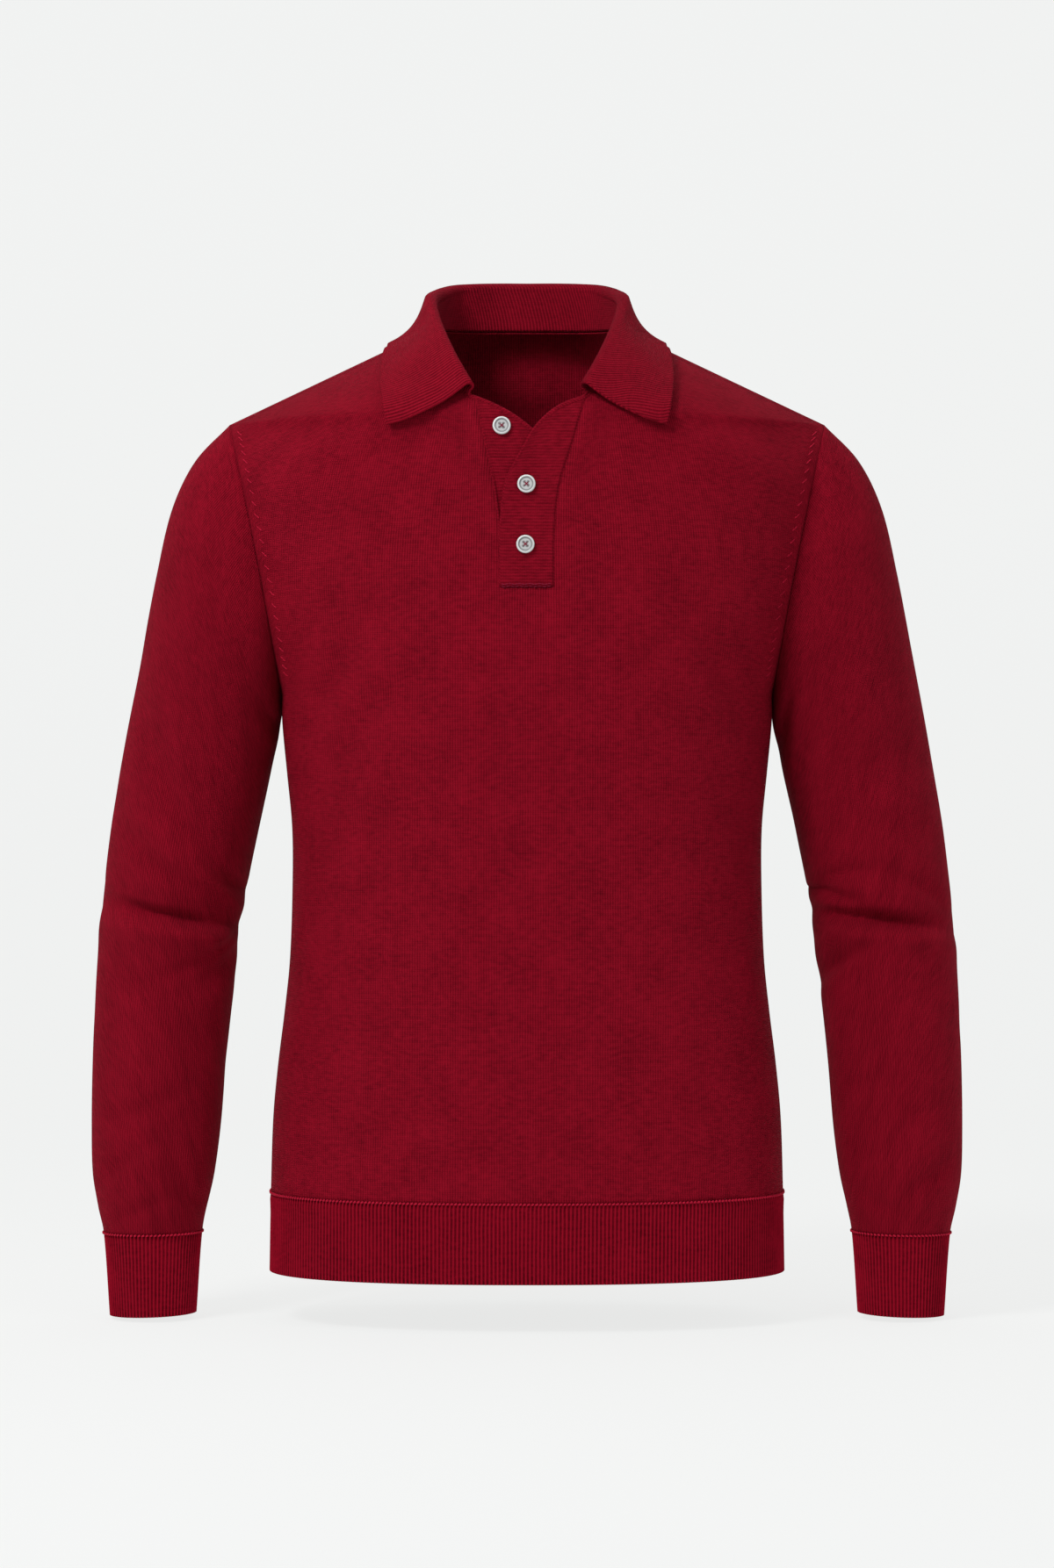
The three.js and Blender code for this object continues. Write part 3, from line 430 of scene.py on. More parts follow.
# %% The back panel, which passes over the shoulder line to the seam in front of it
def back_half():
    """Half of the back, side seam first. Its last rows run over the ridge to the shoulder seam."""
    top_side = ARMHOLE["top_x"]
    low, top = half_shares((0.6, 0), top_side, 0, 0)
    tops = half_tops((0.6, 0), top, top_side, 0)
    angle = np.linspace(LEVEL_ANGLE, 0, FANNED_ROWS + 1)[1:]
    loop_z = armhole_height(angle)
    fanned = (loop_z - LEVEL_TOP) / (ARMHOLE["top_z"] - LEVEL_TOP)
    climb = np.concatenate([np.zeros(LEVEL_ROWS), fanned])[:, None]
    row_side = np.concatenate([side_x(level_heights), armhole_x(loop_z)])[:, None]
    z = np.concatenate([
        np.repeat(level_heights[:, None], len(low), 1),
        mix(LEVEL_TOP, tops[None, :], climb[LEVEL_ROWS:]),
    ])
    x = row_side * arc(mix(low[None, :], top[None, :], climb**2))
    return x, z


OVER_ROWS = 6
back_x, back_z = back_half()
over = np.linspace(0, 1, OVER_ROWS + 1)[1:, None]
loop_over = armhole_height(SEAM_ANGLE * over)
over_neck_x = neckline_at(mix(0.6, 0.64, over))["x"]
over_share = mix(1, arc_share(over_neck_x / armhole_x(loop_over)), shoulder_steps[None, :])
over_x = armhole_x(loop_over) * arc(over_share)
over_z = shoulder_height(over_x) - SEAM_FALL * over**1.8
back_left = torso_points(back_x, back_z, "back")
over_left = torso_points(over_x, over_z, "front")
spare = np.repeat(back_left[-1:, SHOULDER_COLUMNS + 1:], OVER_ROWS, 0)
half_back = np.concatenate([back_left, np.concatenate([over_left, spare], axis=1)])
other_half = half_back[:, -2::-1] * np.array([-1, 1, 1])
back_points = np.concatenate([half_back, other_half], axis=1)
back_columns = back_points.shape[1]
ridge_row = back_left.shape[0] - 1


def off_neck(row, column):
    over_opening = (row >= ridge_row) & (column >= SHOULDER_COLUMNS)
    return ~(over_opening & (column < back_columns - 1 - SHOULDER_COLUMNS))


back_panel = cloth_piece("back_cloth", back_points, WALL["jersey"], keep=off_neck)


# %% [markdown]
# ## Sleeves, with their elbow folds
# A sleeve could be a cylinder bent by a curve, but its outline is what shows. So each ring joins a point
# of the outer outline to one of the inner outline, and a table gives the ring's depth. The first ring is
# the armhole itself. The folds at the elbow are placed one by one: each is a bell along the arm and round
# it, pressed in or raised.

# %% The sleeve's outline and folds
sleeve_at = smooth_table(
    ["station", "outer_x", "outer_z", "inner_x", "inner_z", "centre_y", "front", "back"],
    [
        [0, 213, -68.5, 175.5, -261.5, 2, 52, 56],
        [36, 238, -94.5, 176, -279, 4, 58, 61],
        [73, 254.5, -128, 178.5, -294, 6, 61, 63],
        [123, 266, -176, 184, -318, 8, 62, 63],
        [181, 277, -233, 191, -349.5, 10, 60, 61],
        [248, 289.5, -299, 198, -382, 12, 57, 58],
        [300, 298, -349.5, 201, -398, 12, 55, 56],
        [344, 303.5, -394, 202.5, -409, 10, 53, 54],
        [388, 307.5, -438, 206, -441, 7, 51, 51],
        [432, 310, -482, 211.5, -482, 4, 49, 49],
        [477, 311.5, -526, 216, -526, 1, 47, 47],
        [521, 312, -570, 219.5, -570, -1, 45, 45],
        [556, 311, -605, 224, -605, -3, 42, 42],
        [581, 307, -629, 229, -628, -4, 38, 38],
        [600, 303, -647, 232.5, -646, -5, 34.5, 34.5],
        [661, 298.5, -706, 236.5, -704, -7, 31, 31],
    ],
)
SLEEVE_END = 600
CUFF_END = 661
FOLD_COLUMNS = ["side", "station", "angle", "half_length", "half_turn", "depth", "lean"]
FOLDS = [
    [-1, 362, 95, 11, 75, 6.5, 6],
    [-1, 385, 80, 10, 60, -3.0, 4],
    [-1, 404, 150, 12, 38, 4.5, -16],
    [-1, 318, 150, 24, 26, 4.5, 0],
    [1, 366, 100, 11, 72, 6.5, -8],
    [1, 388, 85, 10, 60, -3.0, -5],
    [1, 402, 150, 10, 34, 4.0, 12],
    [1, 322, 150, 24, 26, 4.5, 0],
    [-1, 372, 250, 12, 50, 3.0, 5],
    [1, 370, 250, 12, 50, 3.0, -5],
]
# Smaller creases, which the solids leave out
SMALL_FOLDS = [
    [-1, 366, 96, 5, 48, 7.0, 5],
    [-1, 380, 90, 6, 44, -4.5, 4],
    [-1, 359, 84, 6, 50, -3.0, 8],
    [-1, 396, 132, 6, 40, 3.3, -18],
    [-1, 340, 108, 12, 56, 3.9, 30],
    [-1, 312, 96, 12, 44, -2.1, 26],
    [-1, 282, 120, 16, 46, 3.0, 34],
    [-1, 420, 70, 12, 40, 2.1, -12],
    [-1, 450, 120, 14, 44, 2.4, 18],
    [-1, 508, 80, 7, 32, 3.3, -8],
    [-1, 530, 96, 8, 26, 2.7, 10],
    [-1, 548, 60, 8, 28, 3.0, -12],
    [-1, 560, 120, 9, 30, 3.3, 14],
    [-1, 580, 84, 6, 26, 2.8, -6],
    [-1, 576, 146, 7, 24, 2.5, 6],
    [-1, 230, 60, 26, 46, 2.7, 30],
    [-1, 130, 120, 22, 40, 3.0, -26],
    [-1, 70, 150, 20, 34, 3.3, -20],
    [1, 368, 100, 5, 46, 7.0, -6],
    [1, 382, 94, 6, 42, -4.5, -5],
    [1, 361, 88, 6, 50, -3.0, -9],
    [1, 398, 128, 6, 38, 3.3, 14],
    [1, 345, 130, 9, 44, 3.9, -24],
    [1, 318, 100, 12, 44, 3.0, -22],
    [1, 284, 76, 15, 40, 2.4, -30],
    [1, 346, 56, 7, 24, 3.6, -14],
    [1, 430, 60, 12, 40, 2.4, -14],
    [1, 486, 110, 10, 34, 2.4, 12],
    [1, 512, 78, 8, 30, 3.3, -12],
    [1, 536, 118, 8, 28, 2.7, 10],
    [1, 560, 70, 8, 28, 3.0, 12],
    [1, 580, 110, 6, 24, 2.8, -8],
    [1, 226, 70, 26, 44, 2.7, -28],
    [1, 128, 118, 22, 38, 3.0, 24],
    [1, 68, 148, 20, 34, 3.3, 20],
    [-1, 360, 262, 9, 40, 3.9, 8],
    [-1, 398, 240, 10, 44, 3.6, -10],
    [-1, 150, 250, 26, 44, 3.0, 26],
    [-1, 540, 270, 9, 30, 2.8, 10],
    [1, 358, 260, 9, 40, 3.9, -8],
    [1, 400, 238, 10, 42, 3.6, 12],
    [1, 152, 252, 26, 44, 3.0, -24],
    [1, 538, 266, 9, 30, 2.8, -10],
]


def sleeve_points(side, station, angle, lift=0.0, folds=FOLDS + SMALL_FOLDS):
    """A ring round the arm: the outline gives its long axis, the table its depth, the folds press it."""
    s = sleeve_at(station)
    sine, cosine = np.sin(angle), np.cos(angle)
    turn = np.degrees(angle) % 360
    pressed = np.zeros(np.broadcast(station, angle).shape)
    for row in folds:
        fold = dict(zip(FOLD_COLUMNS, row))
        if fold["side"] != side:
            continue
        round_it = (turn - fold["angle"]) / fold["half_turn"]
        along = (station - fold["station"] - fold["lean"] * round_it) / fold["half_length"]
        pressed += fold["depth"] * np.exp(-(along**2) - round_it**2)
    bow = ARMHOLE["bow"] * sine**2 * (1 - smooth_step(station, 0, 70))
    depth = np.where(sine > 0, s["front"], s["back"])
    reach = np.hypot(s["outer_x"] - s["inner_x"], s["outer_z"] - s["inner_z"]) / 2
    swell = 1 + (lift - pressed) / ((reach + depth) / 2)
    x = (s["outer_x"] + s["inner_x"]) / 2 + (s["outer_x"] - s["inner_x"]) / 2 * cosine * swell - bow
    y = s["centre_y"] - depth * sine * swell
    z = (s["outer_z"] + s["inner_z"]) / 2 + (s["outer_z"] - s["inner_z"]) / 2 * cosine * swell
    return np.stack(np.broadcast_arrays(side * x, y, z), axis=-1)


SLEEVE_ROWS, SLEEVE_COLUMNS = 210, 112
sleeves = {}
for side, name in ((1, "sleeve_left"), (-1, "sleeve_right")):
    stations = np.linspace(0, SLEEVE_END, SLEEVE_ROWS)[:, None]
    turns = (side * np.arange(SLEEVE_COLUMNS) / SLEEVE_COLUMNS * 2 * math.pi)[None, :]
    ring_grid = sleeve_points(side, stations, turns)
    along = grid_distance(ring_grid * MM, 1)
    front_column = SLEEVE_COLUMNS // 4 if side > 0 else SLEEVE_COLUMNS * 3 // 4
    cloth_map = (along - along[:, [front_column]], grid_distance(ring_grid * MM, 0))
    sleeves[name] = cloth_piece(f"{name}_cloth", ring_grid, WALL["jersey"], wrap=True, uv=cloth_map)


# %% [markdown]
# ## Ribbed cuffs and hem
# A one by one rib is a row of knit columns that stand up between columns that sink. It could be a bump
# map, but at the edge of a hem the ribs show in outline, so each rib is real relief here: the band's
# radius follows a cosine once for every rib, and the count of ribs comes from the real pitch.

# %% The hem band and its ribs
RIB_PITCH = 2.8
RIB_HEIGHT = 0.72
HEM_RIBS = 344
CUFF_RIBS = 76
POINTS_A_RIB = 6
BAND_ROWS = 12
SEAM_SWELL = 0.5


def rib_relief(column):
    """How far a column lies below the crest of its rib."""
    return RIB_HEIGHT * (0.5 - 0.5 * np.cos(2 * math.pi * column / POINTS_A_RIB)) ** 0.8


def hoop_outline(height, count):
    """Points evenly spaced round the torso's oval, and their outward directions, from +X towards +Y."""
    fine = np.linspace(0, 2 * math.pi, 2881)
    size = torso_at(height)
    power = 2 / SQUARENESS
    depth = np.where(np.sin(fine) > 0, size["back"], size["front"])
    x = np.sign(np.cos(fine)) * size["half_width"] * np.abs(np.cos(fine)) ** power
    y = np.sign(np.sin(fine)) * depth * np.abs(np.sin(fine)) ** power
    length = np.concatenate([[0], np.cumsum(np.hypot(np.diff(x), np.diff(y)))])
    goal = np.arange(count) / count * length[-1]
    px, py = np.interp(goal, length, x), np.interp(goal, length, y)
    tx, ty = np.roll(px, -1) - np.roll(px, 1), np.roll(py, -1) - np.roll(py, 1)
    scale = np.hypot(tx, ty)
    return np.stack([px, py], 1), np.stack([ty / scale, -tx / scale], 1), length[-1]


def hem_band():
    """Rows up the band, with a slight swell just under the seam."""
    columns = HEM_RIBS * POINTS_A_RIB
    relief = rib_relief(np.arange(columns))[:, None]
    rows = []
    for height in np.linspace(HEM, RIB_SEAM, BAND_ROWS):
        spot, out, girth = hoop_outline(height, columns)
        swell = SEAM_SWELL * smooth_step(height, RIB_SEAM - 14, RIB_SEAM - 5)
        swell = swell * (1 - smooth_step(height, RIB_SEAM - 5, RIB_SEAM))
        ring = spot + out * (swell - relief)
        rows.append(np.column_stack([ring[:, 0], ring[:, 1] + MID_Y, np.full(columns, height)]))
    print("hem girth", round(girth), "mm, rib pitch", round(girth / HEM_RIBS, 2), "mm")
    return np.array(rows)


def rib_map(grid):
    """The map runs one rib pitch for each rib, so the material's wales fall on the ribs."""
    rows, columns = grid.shape[:2]
    u = np.repeat(np.arange(columns)[None] / POINTS_A_RIB * RIB_PITCH * MM, rows, 0)
    return u, grid_distance(grid * MM, 0)


hem_grid = hem_band()
hem_piece = cloth_piece("hem_band", hem_grid, WALL["rib"], wrap=True, uv=rib_map(hem_grid))


# %% The cuffs
def cuff_band(side):
    columns = CUFF_RIBS * POINTS_A_RIB
    turns = (side * np.arange(columns) / columns * 2 * math.pi)[None, ::-1]
    stations = np.linspace(CUFF_END, SLEEVE_END, BAND_ROWS)[:, None]
    return sleeve_points(side, stations, turns, lift=-rib_relief(np.arange(columns))[None, :], folds=[])


cuffs = {}
for side, name in ((1, "cuff_left"), (-1, "cuff_right")):
    grid = cuff_band(side)
    cuffs[name] = cloth_piece(f"{name}_band", grid, WALL["rib"], wrap=True, uv=rib_map(grid))


# %% [markdown]
# ## The collar: stand, roll and fall in one piece
# A collar could be two shells, one inside the neck and one folded over it. A flat-knitted collar is one
# strip, so it is one surface: from the neck seam up the stand, round the roll, and down the fall to its
# free edge. Two curves in space drive it, the roll line and the free edge, and each section is laid out
# in the plane of those two and the outward direction.

# %% Collar curves
collar_at = smooth_table(
    ["along", "roll_x", "roll_y", "roll_z", "edge_x", "edge_y", "edge_z", "bend", "swell"],
    [
        [0, 0, 93, 41, 0, 103, -6, 3.6, 2.5],
        [0.12, 20, 92, 41, 24, 101.5, -6.5, 3.6, 2.5],
        [0.24, 38, 86, 40, 46, 95, -7.5, 3.6, 2.5],
        [0.36, 53.5, 74, 37.5, 68, 81, -8.5, 3.6, 1.5],
        [0.5, 64, 40, 30, 88, 45, -10, 3.6, -2.5],
        [0.6, 67, 6, 22, 98, 4, -11, 3.5, -5],
        [0.7, 64, -24, 7, 102, -30, -22, 3.4, -3],
        [0.8, 58, -55, -10, 102, -66, -42, 3.2, 1],
        [0.9, 49.5, -81, -29, 100, -91, -60, 3.0, 2.5],
        [1, 38.5, -100.5, -49, 97, -103, -76.5, 2.8, 2.5],
    ],
)
FRONT_EDGE_BOW = 7
COLLAR_CLEARANCE = 3.0
STAND_LIFT = 0.6
STAND_RAISE = 1.45
RIDGE_SLOPE = 0.25
STAND_ROWS, ROLL_ROWS, FALL_ROWS = 16, 12, 34


def unit(vectors):
    return vectors / np.maximum(np.linalg.norm(vectors, axis=-1, keepdims=True), 1e-9)


def neckline_points(along):
    """The neck seam in space: behind the neck point it lies on the back, before it on the front."""
    spot = neckline_at(along)
    front = torso_points(spot["x"], spot["z"], "front")
    back = torso_points(spot["x"], spot["z"], "back")
    return np.where((along > 0.6)[:, None], front, back)


def inside_torso(x, y, z):
    """Positive inside the torso, negative outside it: its depth less the distance from its middle."""
    depth = np.where(y < MID_Y, torso_depth(x, z, "front"), torso_depth(x, z, "back"))
    drop = shoulder_height(x) - z
    above = (drop < 0) & (np.abs(x) > NECK_X)
    return np.where(above, drop - np.abs(y - MID_Y) * RIDGE_SLOPE, depth - np.abs(y - MID_Y))


def slope_of(function, points, step=0.5):
    """The function's gradient at each point, by central differences."""
    moves = np.eye(3) * step
    return np.stack([(function(*np.moveaxis(points + m, -1, 0)) - function(*np.moveaxis(points - m, -1, 0)))
                     / (2 * step) for m in moves], -1)


def spread_out(values, passes):
    """Averages a grid with its neighbours, along and across, so that a push has no sharp edge."""
    for _ in range(passes):
        padded = np.pad(values, ((1, 1), (1, 1), (0, 0)), mode="edge")
        values = (padded[2:, 1:-1] + padded[:-2, 1:-1] + padded[1:-1, 2:] + padded[1:-1, :-2]
                  + 2 * values) / 6
    return values


def clear_of_torso(points, clearance):
    """Near points are pushed out to the clearance along the slope of inside_torso, and the push is
    softened."""
    for passes in (24, 12, 6):
        slope = slope_of(inside_torso, points)
        size = np.maximum(np.linalg.norm(slope, axis=-1), 1e-6)
        gap = -inside_torso(*np.moveaxis(points, -1, 0)) / size
        push = np.clip(clearance - gap, 0, 12)
        points = points - spread_out(slope / size[..., None] * push[..., None], passes)
    return points


def collar_sections(along):
    """Half the collar, along the neckline by across the section, from the stand's foot to the edge of
    the fall."""
    c = collar_at(along)
    roll = np.stack([c["roll_x"], c["roll_y"], c["roll_z"]], -1)
    edge = np.stack([c["edge_x"], c["edge_y"], c["edge_z"]], -1)
    bend = c["bend"][:, None]
    seam = neckline_points(along)
    ahead, behind = collar_at(np.minimum(along + 0.02, 1)), collar_at(np.maximum(along - 0.02, 0))
    tangent = np.stack([ahead[k] - behind[k] for k in ("roll_x", "roll_y", "roll_z")], -1)
    tangent[along < 0.02] = (1, 0, 0)
    down = unit(edge - roll)
    out = unit(np.cross(tangent, down))
    centre = roll + down * bend
    inner, outer = centre - out * bend, centre + out * bend
    raised = STAND_RAISE * smooth_step(along, 0.6, 0.75)[:, None]
    foot = seam + unit(inner - seam) * STAND_LIFT + out * raised
    rise = np.arange(STAND_ROWS) / STAND_ROWS
    stand = mix(foot[:, None], inner[:, None], rise[None, :, None])
    turn = math.pi * (np.linspace(0, 1, ROLL_ROWS + 1) - 0.5)
    over = (centre[:, None] + out[:, None] * (bend * np.sin(turn)[None])[..., None]
            - down[:, None] * (bend * np.cos(turn)[None])[..., None])
    t = np.linspace(0, 1, FALL_ROWS + 1)[1:]
    belly = np.sin(math.pi * t)
    fall = mix(outer[:, None], edge[:, None], t[None, :, None])
    fall = fall + out[:, None] * (c["swell"][:, None] * belly)[..., None]
    fall[..., 2] -= FRONT_EDGE_BOW * belly[None, :] * smooth_step(along, 0.8, 1)[:, None]
    return np.concatenate([stand, over, clear_of_torso(fall, COLLAR_CLEARANCE)], axis=1)


half_along = np.linspace(0, 1, 131)
half_collar = collar_sections(half_along)
other_collar = half_collar[:0:-1] * np.array([-1, 1, 1])
collar_points = np.concatenate([other_collar, half_collar])
collar_map = (grid_distance(collar_points * MM, 0), grid_distance(collar_points * MM, 1))
collar_piece = cloth_piece("collar_cloth", collar_points, WALL["collar"], uv=collar_map)


# %% The tape over the neck seam, inside the back
TAPE_ROWS = 6
tape_reach = np.abs(np.concatenate([-half_along[:0:-1], half_along])) <= 0.54
stand_normals = surface_normals(collar_points)
tape_points = (collar_points + stand_normals * (0.35 + WALL["tape"]))[tape_reach][:, :TAPE_ROWS]
tape_map = (grid_distance(tape_points * MM, 0), grid_distance(tape_points * MM, 1))
tape_piece = cloth_piece("neck_tape_cloth", tape_points, WALL["tape"], uv=tape_map)


# %% [markdown]
# ## The placket and its buttons
# The two strips are the same shape on paper, 37 mm wide. The upper one carries the buttonholes and lies
# over the lower one as far as the buttons are fastened, then both spread with the slit. They could be cut
# out of the front panel, but a strip with its own edge catches the light as the real one does.

# %% Placket strips
UNDER_CLEAR = 7
TOP_TAPER = 60
EDGE_BULGE = {True: 4.2, False: 2.2}
STRIP_ROWS, STRIP_COLUMNS = 60, 24


def strip_points(is_over, across, climb):
    """From the slit's foot up to the open neck edge; across runs from the sewn edge to the free one."""
    top_edge = float(slit_at(PLACKET["high"])["right" if is_over else "left"])
    low = PLACKET["low"] + SEAM_GAP
    top_x = mix(top_edge, PLACKET["cross_x"], across)
    rise = (top_x - PLACKET["cross_x"]) / (top_edge - PLACKET["cross_x"])
    neck_edge = mix(PLACKET["cross_z"], PLACKET["high"] - 1, rise)
    neck_edge = neck_edge + EDGE_BULGE[is_over] * np.sin(math.pi * rise)
    z = mix(low, neck_edge, climb)
    slit = slit_at(z)
    attached = slit["right"] - SEAM_GAP if is_over else slit["left"] + SEAM_GAP
    room = slit["right"] - slit["left"] - 2 * SEAM_GAP
    widest = np.minimum(PLACKET["width"], room)
    width = np.minimum(widest, np.abs(attached - PLACKET["cross_x"]) + TOP_TAPER * (1 - climb))
    x = attached + (-1 if is_over else 1) * width * across
    return on_placket(x, z, is_over, widest)


def on_placket(x, z, is_over, width):
    """A point on a strip's face: the upper strip stands proud, the lower one sinks where it is covered."""
    slit = slit_at(z)
    covered_to = np.maximum(slit["right"] - width - UNDER_CLEAR, slit["left"] + 0.5)
    covered = smooth_step(x, slit["left"] - 1, covered_to)
    sink = -PLACKET["proud"] if is_over else covered * (WALL["strip"] - PLACKET["proud"] + SEAM_GAP)
    points = torso_points(x, z, "front")
    points[..., 1] += sink
    return points


strips = {}
strip_grids = {}
for name, is_over in (("placket_over", True), ("placket_under", False)):
    climb = np.linspace(0, 1, STRIP_ROWS)[:, None]
    across = np.linspace(*((1, 0) if is_over else (0, 1)), STRIP_COLUMNS)[None, :]
    strip_grids[name] = strip_points(is_over, across, climb)
    strips[name] = cloth_piece(f"{name}_cloth", strip_grids[name], WALL["strip"])


# %% The rolled edges: a knitted strip curls a little where it is folded
def edge_roll(name, path, radii, turns=14):
    """A soft tube along a path; its section is a circle across the path, flatter from front to back."""
    along = unit(np.gradient(path, axis=0))
    ahead = unit(np.cross(along, np.cross([0, -1.0, 0], along)))
    beside = np.cross(ahead, along)
    angle = (np.arange(turns) / turns * 2 * math.pi)[None, :, None]
    ring = (np.cos(angle) * beside[:, None] + 0.8 * np.sin(angle) * ahead[:, None]) * radii[:, None, None]
    return cloth_piece(name, path[:, None] + ring, 0.5, wrap=True)


def running_length(path):
    return np.concatenate([[0], np.cumsum(np.linalg.norm(np.diff(path, axis=0), axis=1))])


def points_at(distance, reach, data):
    """Values of a path at given distances along it."""
    return np.stack([np.interp(distance, reach, data[:, k]) for k in range(3)], 1)


def along_path(path, count):
    """The same path with evenly spaced points."""
    reach = running_length(path)
    return points_at(np.linspace(0, reach[-1], count), reach, path)


def soften(path, passes):
    """Averages a path with its neighbours; the ends stay."""
    for _ in range(passes):
        path = np.concatenate([path[:1], (path[:-2] + 2 * path[1:-1] + path[2:]) / 4, path[-1:]])
    return path


over_top = strip_points(True, np.linspace(0, 1, 60), np.ones(60))
over_side = strip_points(True, np.ones(80), np.linspace(1, 0.02, 80))[1:]
under_top = strip_points(False, np.linspace(0, 1, 60), np.ones(60))
half_wall = np.array([0, WALL["strip"] / 2, 0])
neck_end = neckline_points(np.linspace(0.9, 1, 12)[:-1])
over_path = soften(along_path(np.concatenate([neck_end, over_top, over_side]), 240), 30) + half_wall
under_path = soften(along_path(np.concatenate([neck_end * [-1, 1, 1], under_top]), 110), 12) + half_wall
reach = np.linspace(0, 1, 240)
over_roll = edge_roll("placket_over_edge", over_path, mix(2.2, 1.0, smooth_step(reach, 0.15, 0.5)))
under_roll = edge_roll("placket_under_edge", under_path, np.linspace(2.2, 1.5, 110))
slit_z = np.linspace(PLACKET["low"], PLACKET["high"], 120)
slit_seams = []
for edge in ("left", "right"):
    seam = torso_points(slit_at(slit_z)[edge], slit_z, "front") + np.array([0, 0.35, 0])
    slit_seams.append(edge_roll(f"placket_{edge}_seam", seam, np.full(120, 0.8), turns=10))


# %% [markdown]
# ## Buttons, sewn on with thread
# A button could be a cylinder with a bump map. Under a soft light its rim, its dished face and its four
# holes are what make it read as a button, so it is a turned profile with real sunk holes, and the thread
# crosses between them as small bars.

# %% Button profile, turned about its axis
BUTTON = {"radius": 6.35, "thick": 2.4, "rim": 1.1, "recess": 0.8, "hole": 0.95, "hole_step": 1.3,
          "hole_depth": 1.3}
BUTTON_PLACES = {
    "button_top": (-17.7, -77.4, False),
    "button_middle": (-0.4, -118.3, True),
    "button_bottom": (-1.1, -160.2, True),
}
BUTTON_RINGS, BUTTON_TURNS = 44, 96


def button_height(radius):
    """The face's height over the radius: a rounded rim, then a dish that falls to its flat middle."""
    top = BUTTON["thick"] / 2
    rim = BUTTON["radius"] - BUTTON["rim"]
    outside = np.clip((radius - rim) / BUTTON["rim"], 0, 1)
    dish = smooth_step(radius, rim - 0.9, rim)
    return top * np.sqrt(1 - outside**2 * 0.96) - BUTTON["recess"] * (1 - dish)


def button_shape(frame_at):
    """Front face, rounded side and back as one surface; the four holes are pits with steep walls."""
    radius = (np.linspace(0.05, 1, BUTTON_RINGS) * BUTTON["radius"])[:, None]
    turn = (np.arange(BUTTON_TURNS) / BUTTON_TURNS * 2 * math.pi)[None, :]
    across, up = radius * np.cos(turn), radius * np.sin(turn)
    face = button_height(radius) + 0 * turn
    step = BUTTON["hole_step"]
    for sx, sy in ((1, 1), (1, -1), (-1, 1), (-1, -1)):
        gap = np.hypot(across - sx * step, up - sy * step)
        pit = 1 - smooth_step(gap, BUTTON["hole"] - 0.3, BUTTON["hole"] + 0.12)
        face = face - BUTTON["hole_depth"] * pit
    rounding = np.clip(radius / BUTTON["radius"], 0, 1) ** 6 * 0.96
    back = -BUTTON["thick"] / 2 * np.sqrt(1 - rounding) + 0 * turn
    front = np.stack([across, up, face], -1)
    rear = np.stack([across, up, back], -1)[::-1]
    rings = np.concatenate([front, rear])
    count = rings.shape[0] * BUTTON_TURNS
    r, c = np.meshgrid(np.arange(rings.shape[0] - 1), np.arange(BUTTON_TURNS), indexing="ij")
    n = (c + 1) % BUTTON_TURNS
    quads = np.stack([r * BUTTON_TURNS + c, (r + 1) * BUTTON_TURNS + c, (r + 1) * BUTTON_TURNS + n,
                      r * BUTTON_TURNS + n], -1).reshape(-1, 4).tolist()
    caps = [list(range(BUTTON_TURNS)), list(range(count - BUTTON_TURNS, count))[::-1]]
    return placed(rings.reshape(-1, 3), frame_at), quads + caps, rings.reshape(-1, 3)[:, :2]


def placed(points, frame_at):
    """Local across, up and out distances, laid out at a place on the shirt."""
    origin, across, up, out = frame_at
    return origin + points[:, [0]] * across + points[:, [1]] * up + points[:, [2]] * out


def strip_frame(x, z, is_over, lift):
    """A place on a strip with its across, up and outward directions."""
    width = PLACKET["width"]

    def spot(dx, dz):
        return on_placket(np.array([x + dx]), np.array([z + dz]), is_over, width)[0]

    across = unit(spot(3, 0) - spot(-3, 0))
    up = unit(spot(0, 3) - spot(0, -3))
    out = unit(np.cross(across, up))
    up = np.cross(out, across)
    return spot(0, 0) + out * lift, across, up, out


def tube_between(start, end, radius, sides=10):
    """A short closed thread from start to end, as vertices and faces."""
    axis = unit(end - start)
    side = unit(np.cross(axis, (0.3, 0.2, 0.9)))
    other = np.cross(axis, side)
    steps = np.linspace(0, 1, 9)
    size = radius * np.sqrt(np.maximum(1 - (2 * steps - 1) ** 8, 0.05))
    turn = np.arange(sides) / sides * 2 * math.pi
    ring = np.cos(turn)[:, None] * side + np.sin(turn)[:, None] * other
    points = mix(start, end, steps[:, None])[:, None] + ring[None] * size[:, None, None]
    r, c = np.meshgrid(np.arange(len(steps) - 1), np.arange(sides), indexing="ij")
    n = (c + 1) % sides
    low, high = r * sides, (r + 1) * sides
    quads = np.stack([low + c, low + n, high + n, high + c], -1).reshape(-1, 4)
    last = (len(steps) - 1) * sides
    caps = [list(range(sides))[::-1], list(range(last, last + sides))]
    return points.reshape(-1, 3), quads.tolist() + caps


def join(parts):
    """Several vertex and face lists as one."""
    vertices, faces, start = [], [], 0
    for points, polygons in parts:
        vertices.append(points)
        faces += [[start + i for i in polygon] for polygon in polygons]
        start += len(points)
    return np.concatenate(vertices), faces


def map_vertices(piece, flat):
    """Gives each corner of a mesh the map position of its vertex, in metres."""
    mesh = piece.data
    index = np.empty(len(mesh.loops), int)
    mesh.loops.foreach_get("vertex_index", index)
    mesh.uv_layers.new(name="cloth").data.foreach_set("uv", flat[index].ravel())


